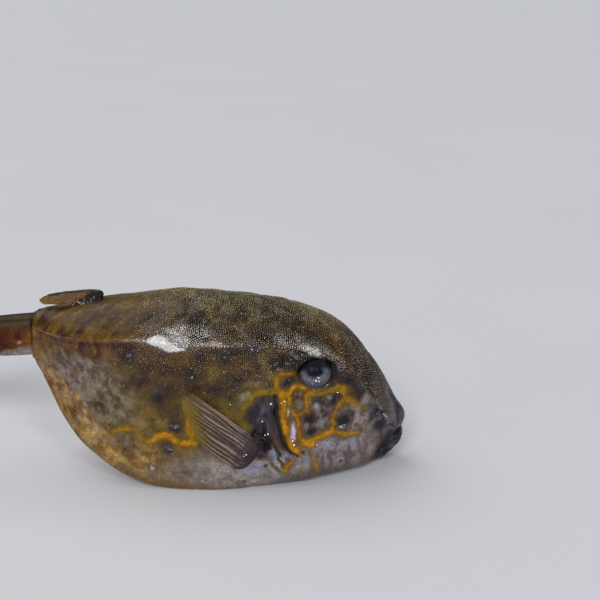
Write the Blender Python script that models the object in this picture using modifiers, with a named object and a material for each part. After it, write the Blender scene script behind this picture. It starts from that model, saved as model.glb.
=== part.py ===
"""A large yellow boxfish at rest on its flat belly, in life size, as separate named sub-parts.

Sizes are metres, +Z up, nose towards +X. Lengths along the fish are counted from the rim of the
shell's tail opening, where x is 0, and one empty moves the whole fish to the middle of its length.
The shell is a loft whose half sections run back (t 0 to 1), flank (1 to 2) and belly (2 to 3).
"""

import math
from collections import namedtuple

import bmesh
import bpy
import numpy as np
from mathutils import Matrix, Vector

GAP = 0.0003
FRAME_SHIFT_X = -0.04797
MERGE = 0.00005

# One station of the shell: its back line (x, z), the edge of the back (x, half width, z), the
# keel between flank and belly (x, half width, z), the belly line (x, z), how far the flank is
# hollowed, and how far the rounding of the two edges reaches into the faces beside them.
Station = namedtuple("Station", "back ridge keel belly hollow ridge_soft keel_soft")

SHELL = (
    Station((0.0000, 0.0858), (0.0000, 0.0088, 0.0800),
            (-0.0006, 0.0096, 0.0630), (0.0000, 0.0602), 0.0000, 0.20, 0.20),
    Station((0.0062, 0.0882), (0.0080, 0.0140, 0.0786),
            (0.0070, 0.0153, 0.0497), (0.0066, 0.0468), 0.0006, 0.12, 0.12),
    Station((0.0190, 0.0894), (0.0210, 0.0214, 0.0781),
            (0.0192, 0.0250, 0.0301), (0.0176, 0.0272), 0.0018, 0.09, 0.11),
    Station((0.0350, 0.0932), (0.0360, 0.0270, 0.0788),
            (0.0342, 0.0318, 0.0158), (0.0325, 0.0124), 0.0022, 0.08, 0.11),
    Station((0.0550, 0.0952), (0.0550, 0.0306, 0.0806),
            (0.0550, 0.0374, 0.0040), (0.0545, 0.0006), 0.0018, 0.08, 0.11),
    Station((0.0800, 0.0975), (0.0800, 0.0328, 0.0796),
            (0.0800, 0.0402, -0.0006), (0.0800, -0.0020), 0.0014, 0.11, 0.12),
    Station((0.1050, 0.0954), (0.1050, 0.0334, 0.0788),
            (0.1050, 0.0404, -0.0002), (0.1050, -0.0020), 0.0010, 0.12, 0.12),
    Station((0.1280, 0.0922), (0.1280, 0.0322, 0.0778),
            (0.1280, 0.0377, 0.0017), (0.1280, -0.0010), 0.0008, 0.14, 0.13),
    Station((0.1460, 0.0874), (0.1450, 0.0304, 0.0745),
            (0.1440, 0.0348, 0.0028), (0.1430, 0.0006), 0.0002, 0.16, 0.15),
    Station((0.1622, 0.0802), (0.1600, 0.0272, 0.0668),
            (0.1575, 0.0302, 0.0038), (0.1560, 0.0014), -0.0006, 0.20, 0.18),
    Station((0.1752, 0.0672), (0.1715, 0.0224, 0.0540),
            (0.1685, 0.0246, 0.0040), (0.1670, 0.0020), -0.0012, 0.26, 0.20),
    Station((0.1862, 0.0510), (0.1820, 0.0163, 0.0398),
            (0.1765, 0.0182, 0.0032), (0.1750, 0.0020), -0.0016, 0.30, 0.22),
    Station((0.1957, 0.0345), (0.1908, 0.0108, 0.0274),
            (0.1816, 0.0120, 0.0030), (0.1804, 0.0028), -0.0012, 0.32, 0.25),
    Station((0.2000, 0.0260), (0.1950, 0.0072, 0.0208),
            (0.1850, 0.0080, 0.0056), (0.1838, 0.0040), -0.0006, 0.34, 0.28),
    Station((0.1987, 0.0198), (0.1937, 0.0048, 0.0168),
            (0.1866, 0.0052, 0.0082), (0.1856, 0.0070), 0.0000, 0.34, 0.30),
)
CROWN = 0.52          # how far out across the back stays high, as a share of its half width
BELLY_LEVEL = 0.62    # the same for the flat of the belly
FLAT_MARGIN = 0.6     # the rounding fades out this far from the back line and the belly line
SPLIT_STATION = 7     # the head meets the trunk at this station, behind the gill slit

# Facets around the shell: first turn, last turn and number of steps, closest at the two edges.
TURN_RUNS = ((0.0, 0.78, 4), (0.78, 1.12, 4), (1.12, 1.84, 5), (1.84, 2.2, 4), (2.2, 3.0, 4))
TRUNK_RINGS = 22
HEAD_RINGS = 17
STALK_RINGS = 9
STALK_TURNS = 11
SMOOTH_ANGLE = 50.0

# The tail stalk: x, upper and lower height, half width.
Ring = namedtuple("Ring", "x top bottom half_width")
STALK = (
    Ring(0.0000, 0.0850, 0.0621, 0.0076),
    Ring(-0.0100, 0.0842, 0.0613, 0.0074),
    Ring(-0.0220, 0.0830, 0.0609, 0.0067),
    Ring(-0.0340, 0.0815, 0.0617, 0.0055),
    Ring(-0.0440, 0.0806, 0.0628, 0.0043),
    Ring(-0.0500, 0.0795, 0.0640, 0.0031),
    Ring(-0.0525, 0.0775, 0.0662, 0.0018),
)
STALK_SQUARENESS = 2.5

EYE_CENTRE = (0.1495, 0.0273, 0.0616)
EYE_SEMI_AXES = (0.0088, 0.0066, 0.0084)
EYE_FORWARD = 13.0
EYE_UPWARD = 5.0
EYE_FACETS = (20, 12)

# A fin: a base line, a margin line from the first ray's tip to the last ray's, the number of
# rays, its thickness at the base and at the margin, how far rays stand out, the bow of all its
# rays halfway out, and the crest by which the first rays rise just off the base.
Fin = namedtuple("Fin", "root margin rays flesh edge ray_height bow crest")
FIN_ROWS = 7
CREST_SKEW = 0.4      # brings the top of a fin's crest in to a sixth of the ray
NOTCH = 0.03          # how far the membrane between two rays falls short of their tips
FLESH_REACH = 0.31    # the share of a ray that the flesh of the base runs out along
FLESH_FALL = 1.5      # how steeply that flesh thins
RAY_TAPER = 0.6       # how much of its height a ray has lost at its tip

PECTORAL = Fin(
    root=((0.1188, 0.0352, 0.0263), (0.1167, 0.0366, 0.0183), (0.1108, 0.0378, 0.0096)),
    margin=((0.0874, 0.0405, 0.0558), (0.0824, 0.0420, 0.0542), (0.0809, 0.0430, 0.0503),
            (0.0833, 0.0438, 0.0445), (0.0871, 0.0442, 0.0358), (0.0915, 0.0445, 0.0280)),
    rays=10, flesh=0.0064, edge=0.0007, ray_height=0.0007, bow=(0, 0.0012, 0), crest=(0, 0, 0))
DORSAL = Fin(
    root=((0.0352, 0.0000, 0.0918), (0.0280, 0.0000, 0.0898), (0.0205, -0.0004, 0.0880)),
    margin=((0.0075, -0.0006, 0.0958), (0.0022, -0.0008, 0.0928), (0.0045, -0.0010, 0.0902)),
    rays=9, flesh=0.0064, edge=0.0008, ray_height=0.0006, bow=(0, 0.0006, 0.0006),
    crest=(0.0030, 0, 0.0036))
ANAL = Fin(
    root=((0.0345, 0.0000, 0.0150), (0.0280, 0.0004, 0.0202), (0.0216, 0.0008, 0.0268)),
    margin=((0.0092, 0.0075, 0.0362), (0.0036, 0.0085, 0.0426), (0.0040, 0.0082, 0.0462)),
    rays=9, flesh=0.0058, edge=0.0008, ray_height=0.0006, bow=(-0.0024, 0.0008, -0.0024),
    crest=(-0.0012, 0, -0.0016))
CAUDAL = Fin(
    root=((-0.0480, 0.0000, 0.0792), (-0.0490, 0.0000, 0.0717), (-0.0480, 0.0000, 0.0648)),
    margin=((-0.0905, 0.0030, 0.0930), (-0.1005, 0.0044, 0.0835), (-0.1040, 0.0050, 0.0700),
            (-0.1005, 0.0044, 0.0565), (-0.0905, 0.0030, 0.0480)),
    rays=10, flesh=0.0052, edge=0.0009, ray_height=0.0006, bow=(0, -0.0020, 0), crest=(0, 0, 0))

# A lip: an egg-shaped lump bent back round the snout, its corners drawn down by the droop.
Lip = namedtuple("Lip", "centre semi_axes tilt bend droop")
LIP_FACETS = (14, 16)
UPPER_LIP = Lip((0.1922, 0.0, 0.0142), (0.0063, 0.0114, 0.0078), -38.0, 0.0086, 0.0080)
LOWER_LIP = Lip((0.1860, 0.0, 0.0044), (0.0050, 0.0096, 0.0038), -20.0, 0.0052, 0.0004)


def natural_spline(knots, values, places):
    """A smooth curve through the values at the knots, read at the given places."""
    knots, values, places = (np.asarray(part, dtype=float) for part in (knots, values, places))
    count = len(knots)
    step = np.diff(knots)
    slope = np.diff(values, axis=0) / step[:, None]
    system = np.eye(count)
    bend = np.zeros_like(values)
    for i in range(1, count - 1):
        system[i, i - 1:i + 2] = step[i - 1], 2 * (step[i - 1] + step[i]), step[i]
        bend[i] = 6 * (slope[i] - slope[i - 1])
    bend = np.linalg.solve(system, bend)
    cell = np.clip(np.searchsorted(knots, places, side="right") - 1, 0, count - 2)
    wide = step[cell][:, None]
    after = (places - knots[cell])[:, None]
    before = wide - after
    return (
        (bend[cell] * before ** 3 + bend[cell + 1] * after ** 3) / (6 * wide)
        + (values[cell] / wide - bend[cell] * wide / 6) * before
        + (values[cell + 1] / wide - bend[cell + 1] * wide / 6) * after
    )


def station_places():
    """How far along the fish each station lies, as the mean length of its four lines."""
    rows = np.array([
        (s.back[0], 0, s.back[1], *s.ridge, *s.keel, s.belly[0], 0, s.belly[1]) for s in SHELL])
    steps = np.linalg.norm(np.diff(rows, axis=0).reshape(-1, 4, 3), axis=2).mean(axis=1)
    return np.concatenate(([0.0], np.cumsum(steps)))


PLACES = station_places()


def bezier(start, control, end, share):
    """A quadratic curve from start to end, for arrays of points and shares."""
    share = share[None, :, None]
    return (
        start[:, None] * (1 - share) ** 2
        + control[:, None] * 2 * share * (1 - share)
        + end[:, None] * share ** 2
    )


def sharp_section(lines, around):
    """Points of the half sections before their edges are rounded; around runs from -1 to 4."""
    back, ridge, keel, belly, hollow = lines
    turn = np.where(around < 0, -around, np.where(around > 3, 6 - around, around))
    crown = np.stack([back[:, 0], ridge[:, 1] * CROWN, back[:, 2]], axis=1)
    side = (ridge + keel) / 2
    side[:, 1] -= 2 * hollow
    floor = np.stack([belly[:, 0], keel[:, 1] * BELLY_LEVEL, belly[:, 2]], axis=1)
    points = np.empty((len(back), len(turn), 3))
    faces = ((0, back, crown, ridge), (1, ridge, side, keel), (2, keel, floor, belly))
    for low, start, control, end in faces:
        inside = (turn >= low) & (turn <= low + 1)
        points[:, inside] = bezier(start, control, end, turn[inside] - low)
    points[:, :, 1] *= np.where((around < 0) | (around > 3), -1.0, 1.0)[None, :]
    return points


def shell_points(places, around, taps=9):
    """Points of the shell's +Y half at places along the fish and at turns 0 to 3 around it."""
    table = np.array([
        (s.back[0], 0, s.back[1], *s.ridge, *s.keel, s.belly[0], 0, s.belly[1],
         s.hollow, s.ridge_soft, s.keel_soft) for s in SHELL])
    rows = natural_spline(PLACES, table, places)
    lines = rows[:, 0:3], rows[:, 3:6], rows[:, 6:9], rows[:, 9:12], rows[:, 12]
    around = np.asarray(around, dtype=float)
    points = np.zeros((len(rows), len(around), 3))
    weights = np.hanning(taps + 2)[1:-1]
    weights /= weights.sum()
    near_ridge = np.clip(2 - around, 0, 1)
    for index in range(len(rows)):
        reach = rows[index, 13] * near_ridge + rows[index, 14] * (1 - near_ridge)
        reach *= np.clip(np.minimum(around, 3 - around) / FLAT_MARGIN, 0, 1)
        line = tuple(part[index:index + 1] for part in lines)
        for shift, weight in zip(np.linspace(-1, 1, taps), weights):
            points[index] += weight * sharp_section(line, around + shift * reach)[0]
    points[:, around <= 0, 1] = 0
    points[:, around >= 3, 1] = 0
    points[:, :, 2] = np.maximum(points[:, :, 2], 0)
    return points


def turns_around():
    """Turns from the back line to the belly line, closer together at the two edges."""
    runs = [np.linspace(first, last, steps, endpoint=False) for first, last, steps in TURN_RUNS]
    return np.concatenate((*runs, [TURN_RUNS[-1][1]]))


def material(name, colour, roughness):
    """A Principled material of one colour."""
    made = bpy.data.materials.new(name)
    made.use_nodes = True
    shader = made.node_tree.nodes["Principled BSDF"]
    shader.inputs["Base Color"].default_value = (*colour, 1.0)
    shader.inputs["Roughness"].default_value = roughness
    shader.inputs["Metallic"].default_value = 0.0
    made.diffuse_color = (*colour, 1.0)
    return made


def add_object(name, mesh, collection, frame, finish=None):
    """Puts a mesh in the collection as an object of that name, held by the frame empty."""
    made = bpy.data.objects.new(name, mesh)
    collection.objects.link(made)
    made.parent = frame
    if finish:
        mesh.materials.append(finish)
        mesh.shade_smooth()
        mesh.set_sharp_from_angle(angle=math.radians(SMOOTH_ANGLE))
    return made


def half_loft(name, rings):
    """A mesh between rings of points, with both end rings filled, open at y = 0.

    It is triangulated here, so that a piece and its swollen cutter share one set of facets.
    """
    shape = bmesh.new()
    rows = [[shape.verts.new(point) for point in ring] for ring in rings]
    for row, after in zip(rows, rows[1:]):
        for i in range(len(row) - 1):
            shape.faces.new((row[i], row[i + 1], after[i + 1], after[i]))
    shape.faces.new(rows[0])
    shape.faces.new(reversed(rows[-1]))
    bmesh.ops.recalc_face_normals(shape, faces=shape.faces)
    bmesh.ops.triangulate(shape, faces=shape.faces)
    mesh = bpy.data.meshes.new(name)
    shape.to_mesh(mesh)
    shape.free()
    return mesh


def mirror(piece):
    """Makes the whole of a piece modelled as its +Y half."""
    step = piece.modifiers.new("other_side", "MIRROR")
    step.use_axis = (False, True, False)
    step.merge_threshold = MERGE


def grow(piece, amount):
    """Swells a piece along its normals."""
    step = piece.modifiers.new("clearance", "DISPLACE")
    step.strength = amount
    step.mid_level = 0.0


def cut(piece, cutter):
    """Takes the cutter's space out of a piece."""
    step = piece.modifiers.new(f"cut_by_{cutter.name}", "BOOLEAN")
    step.operation = "DIFFERENCE"
    step.solver = "EXACT"
    step.object = cutter


def as_cutter(piece):
    """Marks an object as a cutter."""
    piece.hide_render = True
    piece.display_type = "WIRE"


def shell_rings(first, last, count):
    """Rings of the shell between two places along it."""
    return shell_points(np.linspace(first, last, count), turns_around())


def stalk_rings(first, last, count):
    """Rings of the tail stalk between two x places, as rounded oblongs."""
    rows = np.array([(r.top, r.bottom, r.half_width) for r in STALK])
    knots = np.array([-r.x for r in STALK])
    places = np.linspace(first, last, count)
    rings = []
    for x, (top, bottom, half_width) in zip(places, natural_spline(knots, rows, -places)):
        ring = []
        for turn in np.linspace(0, math.pi, STALK_TURNS):
            side, up = math.sin(turn), math.cos(turn)
            reach = side ** STALK_SQUARENESS + abs(up) ** STALK_SQUARENESS
            reach **= -1 / STALK_SQUARENESS
            width = 0.0 if side < 1e-9 else half_width * side * reach
            ring.append((x, width, (top + bottom) / 2 + (top - bottom) / 2 * up * reach))
        rings.append(ring)
    return rings


def fin_mesh(name, plan, side=1.0):
    """A sheet of rays from the base line to the margin, two columns of faces to a ray."""
    columns = 2 * plan.rays + 1
    across = np.linspace(0, 1, columns)
    base = natural_spline(np.linspace(0, 1, len(plan.root)), plan.root, across)
    tips = natural_spline(np.linspace(0, 1, len(plan.margin)), plan.margin, across)
    shape = bmesh.new()
    group = shape.verts.layers.deform.verify()
    grid = []
    for j, (low, high) in enumerate(zip(base, tips)):
        on_ray = j % 2
        column = []
        for out in np.linspace(0, 1, FIN_ROWS):
            reach = out * (1.0 if on_ray else 1.0 - NOTCH * out)
            point = low + (high - low) * reach
            point += np.multiply(plan.bow, math.sin(math.pi * out))
            rise = (1 - across[j]) * math.sin(math.pi * out ** CREST_SKEW)
            point += np.multiply(plan.crest, rise)
            point[1] *= side
            vert = shape.verts.new(point)
            fleshy = max(0.0, 1 - out / FLESH_REACH) ** FLESH_FALL
            thick = plan.edge + plan.ray_height * on_ray * (1 - RAY_TAPER * out)
            vert[group][0] = fleshy + (1 - fleshy) * thick / plan.flesh
            column.append(vert)
        grid.append(column)
    for column, beside in zip(grid, grid[1:]):
        for i in range(FIN_ROWS - 1):
            shape.faces.new((column[i], column[i + 1], beside[i + 1], beside[i]))
    mesh = bpy.data.meshes.new(name)
    shape.to_mesh(mesh)
    shape.free()
    return mesh


def fin(name, plan, finish, collection, frame, grown_from, side=1.0):
    """A fin of real thickness, fleshy at its base and trimmed to what it grows from."""
    piece = add_object(name, fin_mesh(name, plan, side), collection, frame, finish)
    thickness = piece.vertex_groups.new(name="thickness")
    solid = piece.modifiers.new("thickness", "SOLIDIFY")
    solid.thickness = plan.flesh
    solid.offset = 0.0
    solid.vertex_group = thickness.name
    cut(piece, grown_from)


def ball(name, semi_axes, facets):
    """A ball with its poles on the Y axis, stretched to three semi-axes."""
    segments, rings = facets
    shape = bmesh.new()
    bmesh.ops.create_uvsphere(shape, u_segments=segments, v_segments=rings, radius=1.0)
    quarter_turn = Matrix.Rotation(math.radians(90), 3, "X")
    bmesh.ops.rotate(shape, cent=Vector(), matrix=quarter_turn, verts=shape.verts)
    bmesh.ops.scale(shape, vec=Vector(semi_axes), verts=shape.verts)
    mesh = bpy.data.meshes.new(name)
    shape.to_mesh(mesh)
    shape.free()
    return mesh


def eye(name, side, extra, collection, frame, finish=None):
    """An eyeball set in the flank, flatter across than it is wide, turned out and forward."""
    semi_axes = [axis + extra for axis in EYE_SEMI_AXES]
    piece = add_object(name, ball(name, semi_axes, EYE_FACETS), collection, frame, finish)
    x, y, z = EYE_CENTRE
    piece.location = (x, side * y, z)
    piece.rotation_euler = (math.radians(EYE_UPWARD * side), 0.0, math.radians(-EYE_FORWARD * side))
    return piece


def lip_mesh(name, plan, extra=0.0):
    """A lip's lump, longer across than deep, bent round the snout."""
    mesh = ball(name, [axis + extra for axis in plan.semi_axes], LIP_FACETS)
    tilt = math.radians(plan.tilt)
    for vert in mesh.vertices:
        x, y, z = vert.co
        bent = (y / plan.semi_axes[1]) ** 2
        vert.co = (
            plan.centre[0] + x * math.cos(tilt) - z * math.sin(tilt) - plan.bend * bent,
            y,
            plan.centre[2] + x * math.sin(tilt) + z * math.cos(tilt) - plan.droop * bent,
        )
    return mesh


def main():
    """Builds the fish."""
    for old in list(bpy.data.objects):
        bpy.data.objects.remove(old, do_unlink=True)
    fish = bpy.data.collections.new("yellow_boxfish")
    cutters = bpy.data.collections.new("boxfish_cutters")
    for collection in (fish, cutters):
        bpy.context.scene.collection.children.link(collection)
    frame = bpy.data.objects.new("boxfish_frame", None)
    frame.location = (FRAME_SHIFT_X, 0.0, 0.0)
    fish.objects.link(frame)

    split = PLACES[SPLIT_STATION]
    flesh = (
        ("trunk", shell_rings(0, split - GAP / 2, TRUNK_RINGS), (0.115, 0.075, 0.030)),
        ("head", shell_rings(split + GAP / 2, PLACES[-1], HEAD_RINGS), (0.130, 0.095, 0.050)),
        ("tail_stalk", stalk_rings(-GAP, STALK[-1].x, STALK_RINGS), (0.240, 0.110, 0.030)),
    )
    pieces = {}
    spaces = {}
    for name, rings, colour in flesh:
        skin = material(f"{name}_skin", colour, 0.35)
        pieces[name] = add_object(name, half_loft(name, rings), fish, frame, skin)
        mirror(pieces[name])
        space = add_object(f"{name}_space", half_loft(f"{name}_space", rings), cutters, frame)
        mirror(space)
        grow(space, GAP)
        as_cutter(space)
        spaces[name] = space

    for word, side in (("right", -1.0), ("left", 1.0)):
        iris = material(f"eye_{word}_surface", (0.090, 0.100, 0.130), 0.10)
        eye(f"eye_{word}", side, 0.0, fish, frame, iris)
        socket = eye(f"socket_{word}", side, GAP, cutters, frame)
        as_cutter(socket)
        cut(pieces["head"], socket)
        membrane = material(f"pectoral_{word}_membrane", (0.170, 0.110, 0.080), 0.40)
        fin(f"pectoral_fin_{word}", PECTORAL, membrane, fish, frame, spaces["trunk"], side)

    dorsal_membrane = material("dorsal_membrane", (0.120, 0.100, 0.045), 0.40)
    fin("dorsal_fin", DORSAL, dorsal_membrane, fish, frame, spaces["trunk"])
    anal_membrane = material("anal_membrane", (0.150, 0.120, 0.070), 0.40)
    fin("anal_fin", ANAL, anal_membrane, fish, frame, spaces["trunk"])
    tail_membrane = material("tail_membrane", (0.160, 0.100, 0.045), 0.40)
    fin("caudal_fin", CAUDAL, tail_membrane, fish, frame, spaces["tail_stalk"])

    lip_skin = material("upper_lip_skin", (0.015, 0.014, 0.018), 0.30)
    upper = add_object("upper_lip", lip_mesh("upper_lip", UPPER_LIP), fish, frame, lip_skin)
    lower_skin = material("lower_lip_skin", (0.040, 0.040, 0.050), 0.30)
    lower = add_object("lower_lip", lip_mesh("lower_lip", LOWER_LIP), fish, frame, lower_skin)
    upper_swollen = lip_mesh("upper_lip_cutter", UPPER_LIP, GAP)
    upper_space = add_object("upper_lip_cutter", upper_swollen, cutters, frame)
    as_cutter(upper_space)
    cut(upper, spaces["head"])
    cut(lower, spaces["head"])
    cut(lower, upper_space)
    bpy.context.view_layer.update()


main()
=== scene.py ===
"""The looks of a large yellow boxfish at rest on its belly: skin, granules, fins, eyes and lips.

One closed skin covers the shell, the head and the tail stalk. The granules of the shell plates are
domes of mesh over it. Lengths along the fish are counted from the rim of the shell's tail opening,
RIM_X in the frame. Marks on the skin are placed in millimetres: x forward of the rim, z above the
floor on the flank, and y out from the middle on the back.
"""

import logging
import math
from dataclasses import dataclass
from enum import Enum
from typing import NamedTuple

import bpy
import numpy as np
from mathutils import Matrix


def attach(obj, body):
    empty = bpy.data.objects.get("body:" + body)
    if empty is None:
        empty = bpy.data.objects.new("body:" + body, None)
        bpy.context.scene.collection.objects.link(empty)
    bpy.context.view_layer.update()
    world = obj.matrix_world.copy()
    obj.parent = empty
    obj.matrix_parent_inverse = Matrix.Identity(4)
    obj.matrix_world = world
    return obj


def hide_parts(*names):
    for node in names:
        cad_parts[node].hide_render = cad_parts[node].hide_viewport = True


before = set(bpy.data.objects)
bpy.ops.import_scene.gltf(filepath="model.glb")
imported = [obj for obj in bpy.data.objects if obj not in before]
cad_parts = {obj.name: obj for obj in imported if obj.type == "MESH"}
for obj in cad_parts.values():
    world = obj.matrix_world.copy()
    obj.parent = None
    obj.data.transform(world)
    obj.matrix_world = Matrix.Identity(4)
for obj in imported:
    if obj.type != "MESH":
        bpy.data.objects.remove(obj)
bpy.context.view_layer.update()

LOG = logging.getLogger("yellow_boxfish")
BODY = "root"
BAKE_MAP = "OFBake"
MM = 0.001
RIM_X = -0.04797
RIGHT, LEFT = -1.0, 1.0
HEX_ROW = 0.87
STALK_EDGE = -0.4
FAR = 9.0
MAP_SHARE, MAP_MARGIN = 0.96, 0.02
TINY = 1e-9

Array = np.ndarray
Point = tuple[float, float, float]
Flat = tuple[float, float]
Triple = tuple[float, float, float]
Colour = tuple[float, float, float]
Shade = tuple[int, int, int]
Socket = bpy.types.NodeSocket
Material = bpy.types.Material
Piece = bpy.types.Object


def srgb(red: int, green: int, blue: int) -> Colour:
    """Gives the linear colour of a display colour, whose parts go from 0 to 255."""
    shares = (red / 255, green / 255, blue / 255)
    return tuple(s / 12.92 if s <= 0.04045 else ((s + 0.055) / 1.055) ** 2.4 for s in shares)


def ease(values: Array, low: float, high: float) -> Array:
    """Rises smoothly from 0 at low to 1 at high; high may lie below low."""
    share = np.clip((values - low) / (high - low), 0.0, 1.0)
    return share * share * (3 - 2 * share)


def between(values: Array, rise: float, full: float, fall: float, end: float) -> Array:
    """Rises smoothly from 0 to 1 between the first two places and falls between the last two."""
    return ease(values, rise, full) * ease(values, end, fall)


def bell(values: Array, width: float) -> Array:
    """Gives a bell curve of height 1 round zero."""
    return np.exp(-(values / width) ** 2)


def blend(under: Array, over: Array | Colour, share: Array) -> Array:
    """Lays a colour over others, by a share for each point."""
    return under + share[:, None] * (np.asarray(over) - under)


def unit(vectors: Array) -> Array:
    """Scales vectors to length one."""
    return vectors / np.maximum(np.linalg.norm(vectors, axis=-1, keepdims=True), 1e-12)


def table(kind: type, *rows: tuple) -> tuple:
    """Gives a named row for each row of plain values."""
    return tuple(kind(*row) for row in rows)


def lengths(line: Array) -> Array:
    """Gives how far along a line of points each one lies."""
    return np.concatenate(([0.0], np.cumsum(np.linalg.norm(np.diff(line, axis=0), axis=1))))


def cells_of(grid: Array) -> Array:
    """Gives the four corners of each cell of a grid of numbers or places."""
    return np.stack((grid[:-1, :-1], grid[:-1, 1:], grid[1:, 1:], grid[1:, :-1]), axis=2)


def wrapped(rings: int, columns: int) -> Array:
    """Numbers the points of closed rings, with each ring's first point again at its end."""
    number = np.arange(rings * columns).reshape(rings, columns)
    return np.concatenate((number, number[:, :1]), axis=1)


def on_circle(sides: int) -> Array:
    """Gives the turns of evenly spaced places on a circle."""
    return np.arange(sides) * 2 * math.pi / sides


def ball(semi_axes: Point, rings: int, segments: int, inset: float) -> tuple[Array, Array, Array]:
    """Gives the rings of an ellipsoid whose poles lie on the y axis.

    Args:
        semi_axes: Half its size along x, y and z.
        rings: How many rings it has.
        segments: How many points each has.
        inset: The angle from each pole to the ring next to it.

    Returns:
        The x, y and z of its points, by ring and segment.
    """
    polar = np.linspace(inset, math.pi - inset, rings)[:, None]
    turn = np.linspace(0, 2 * math.pi, segments, endpoint=False)[None]
    return (semi_axes[0] * np.sin(polar) * np.cos(turn),
            semi_axes[1] * np.cos(polar) * np.ones_like(turn),
            semi_axes[2] * np.sin(polar) * np.sin(turn))


def path_distance(across: Array, up: Array, path: tuple[Flat, ...]) -> Array:
    """Measures how far flat points lie from a path of straight runs.

    Args:
        across: First coordinates of the points.
        up: Second coordinates of the points.
        path: The corners of the path.

    Returns:
        The least distance of each point.
    """
    nearest = np.full(across.shape, np.inf)
    for (x0, z0), (x1, z1) in zip(path, path[1:]):
        run = (x1 - x0) ** 2 + (z1 - z0) ** 2
        share = np.clip(((across - x0) * (x1 - x0) + (up - z0) * (z1 - z0)) / run, 0, 1)
        gap = np.hypot(across - x0 - share * (x1 - x0), up - z0 - share * (z1 - z0))
        nearest = np.minimum(nearest, gap)
    return nearest


def natural_spline(knots: Array, values: Array, places: Array) -> Array:
    """Reads a smooth curve through the values at the knots.

    Args:
        knots: Rising places of the known values.
        values: A row of values for each knot.
        places: Where the curve is read.

    Returns:
        A row of values for each place.
    """
    knots, values, places = (np.asarray(part, dtype=float) for part in (knots, values, places))
    count = len(knots)
    step = np.diff(knots)
    slope = np.diff(values, axis=0) / step[:, None]
    system = np.eye(count)
    bend = np.zeros_like(values)
    for i in range(1, count - 1):
        system[i, i - 1:i + 2] = step[i - 1], 2 * (step[i - 1] + step[i]), step[i]
        bend[i] = 6 * (slope[i] - slope[i - 1])
    bend = np.linalg.solve(system, bend)
    cell = np.clip(np.searchsorted(knots, places, side="right") - 1, 0, count - 2)
    wide = step[cell][:, None]
    after = (places - knots[cell])[:, None]
    before = wide - after
    return (
        (bend[cell] * before ** 3 + bend[cell + 1] * after ** 3) / (6 * wide)
        + (values[cell] / wide - bend[cell] * wide / 6) * before
        + (values[cell + 1] / wide - bend[cell + 1] * wide / 6) * after
    )


def curved(path: tuple[Flat, ...], steps: int = 3) -> Array:
    """Rounds the corners of a flat path by a smooth curve through them."""
    places = np.linspace(0, len(path) - 1, steps * (len(path) - 1) + 1)
    return natural_spline(np.arange(len(path)), np.array(path), places)


class SoftNoise:
    """Smooth seeded noise from -1 to 1, read anywhere in space."""

    CELLS = 32

    def __init__(self, seed: int) -> None:
        """Fills the lattice from a seed."""
        self.lattice = np.random.default_rng(seed).uniform(-1, 1, (self.CELLS,) * 3)

    def at(self, x: Array, y: Array, z: Array, size: float) -> Array:
        """Reads the noise.

        Args:
            x: First coordinates.
            y: Second coordinates.
            z: Third coordinates.
            size: The size of one patch of the noise, in the same unit.

        Returns:
            A value for each point.
        """
        parts = [np.asarray(part, dtype=float) / size for part in np.broadcast_arrays(x, y, z)]
        lows = [np.floor(part).astype(int) for part in parts]
        shares = [part - low for part, low in zip(parts, lows)]
        shares = [share * share * (3 - 2 * share) for share in shares]
        total = np.zeros(parts[0].shape)
        for corner in range(8):
            steps = [corner >> axis & 1 for axis in range(3)]
            weight = np.ones_like(total)
            for share, step in zip(shares, steps):
                weight = weight * (share if step else 1 - share)
            cell = tuple((low + step) % self.CELLS for low, step in zip(lows, steps))
            total += weight * self.lattice[cell]
        return total

    def over(self, at: "Places", size: float) -> Array:
        """Reads the noise at points of the skin."""
        return self.at(at.x, at.y, at.z, size)


class Station(NamedTuple):
    """One station of the shell, as on the frame: four lines, the hollow and two softened edges."""

    back_x: float
    back_z: float
    ridge_x: float
    ridge_y: float
    ridge_z: float
    keel_x: float
    keel_y: float
    keel_z: float
    belly_x: float
    belly_z: float
    hollow: float
    ridge_soft: float
    keel_soft: float


class Ring(NamedTuple):
    """One ring of the tail stalk."""

    x: float
    top: float
    bottom: float
    half_width: float


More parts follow.
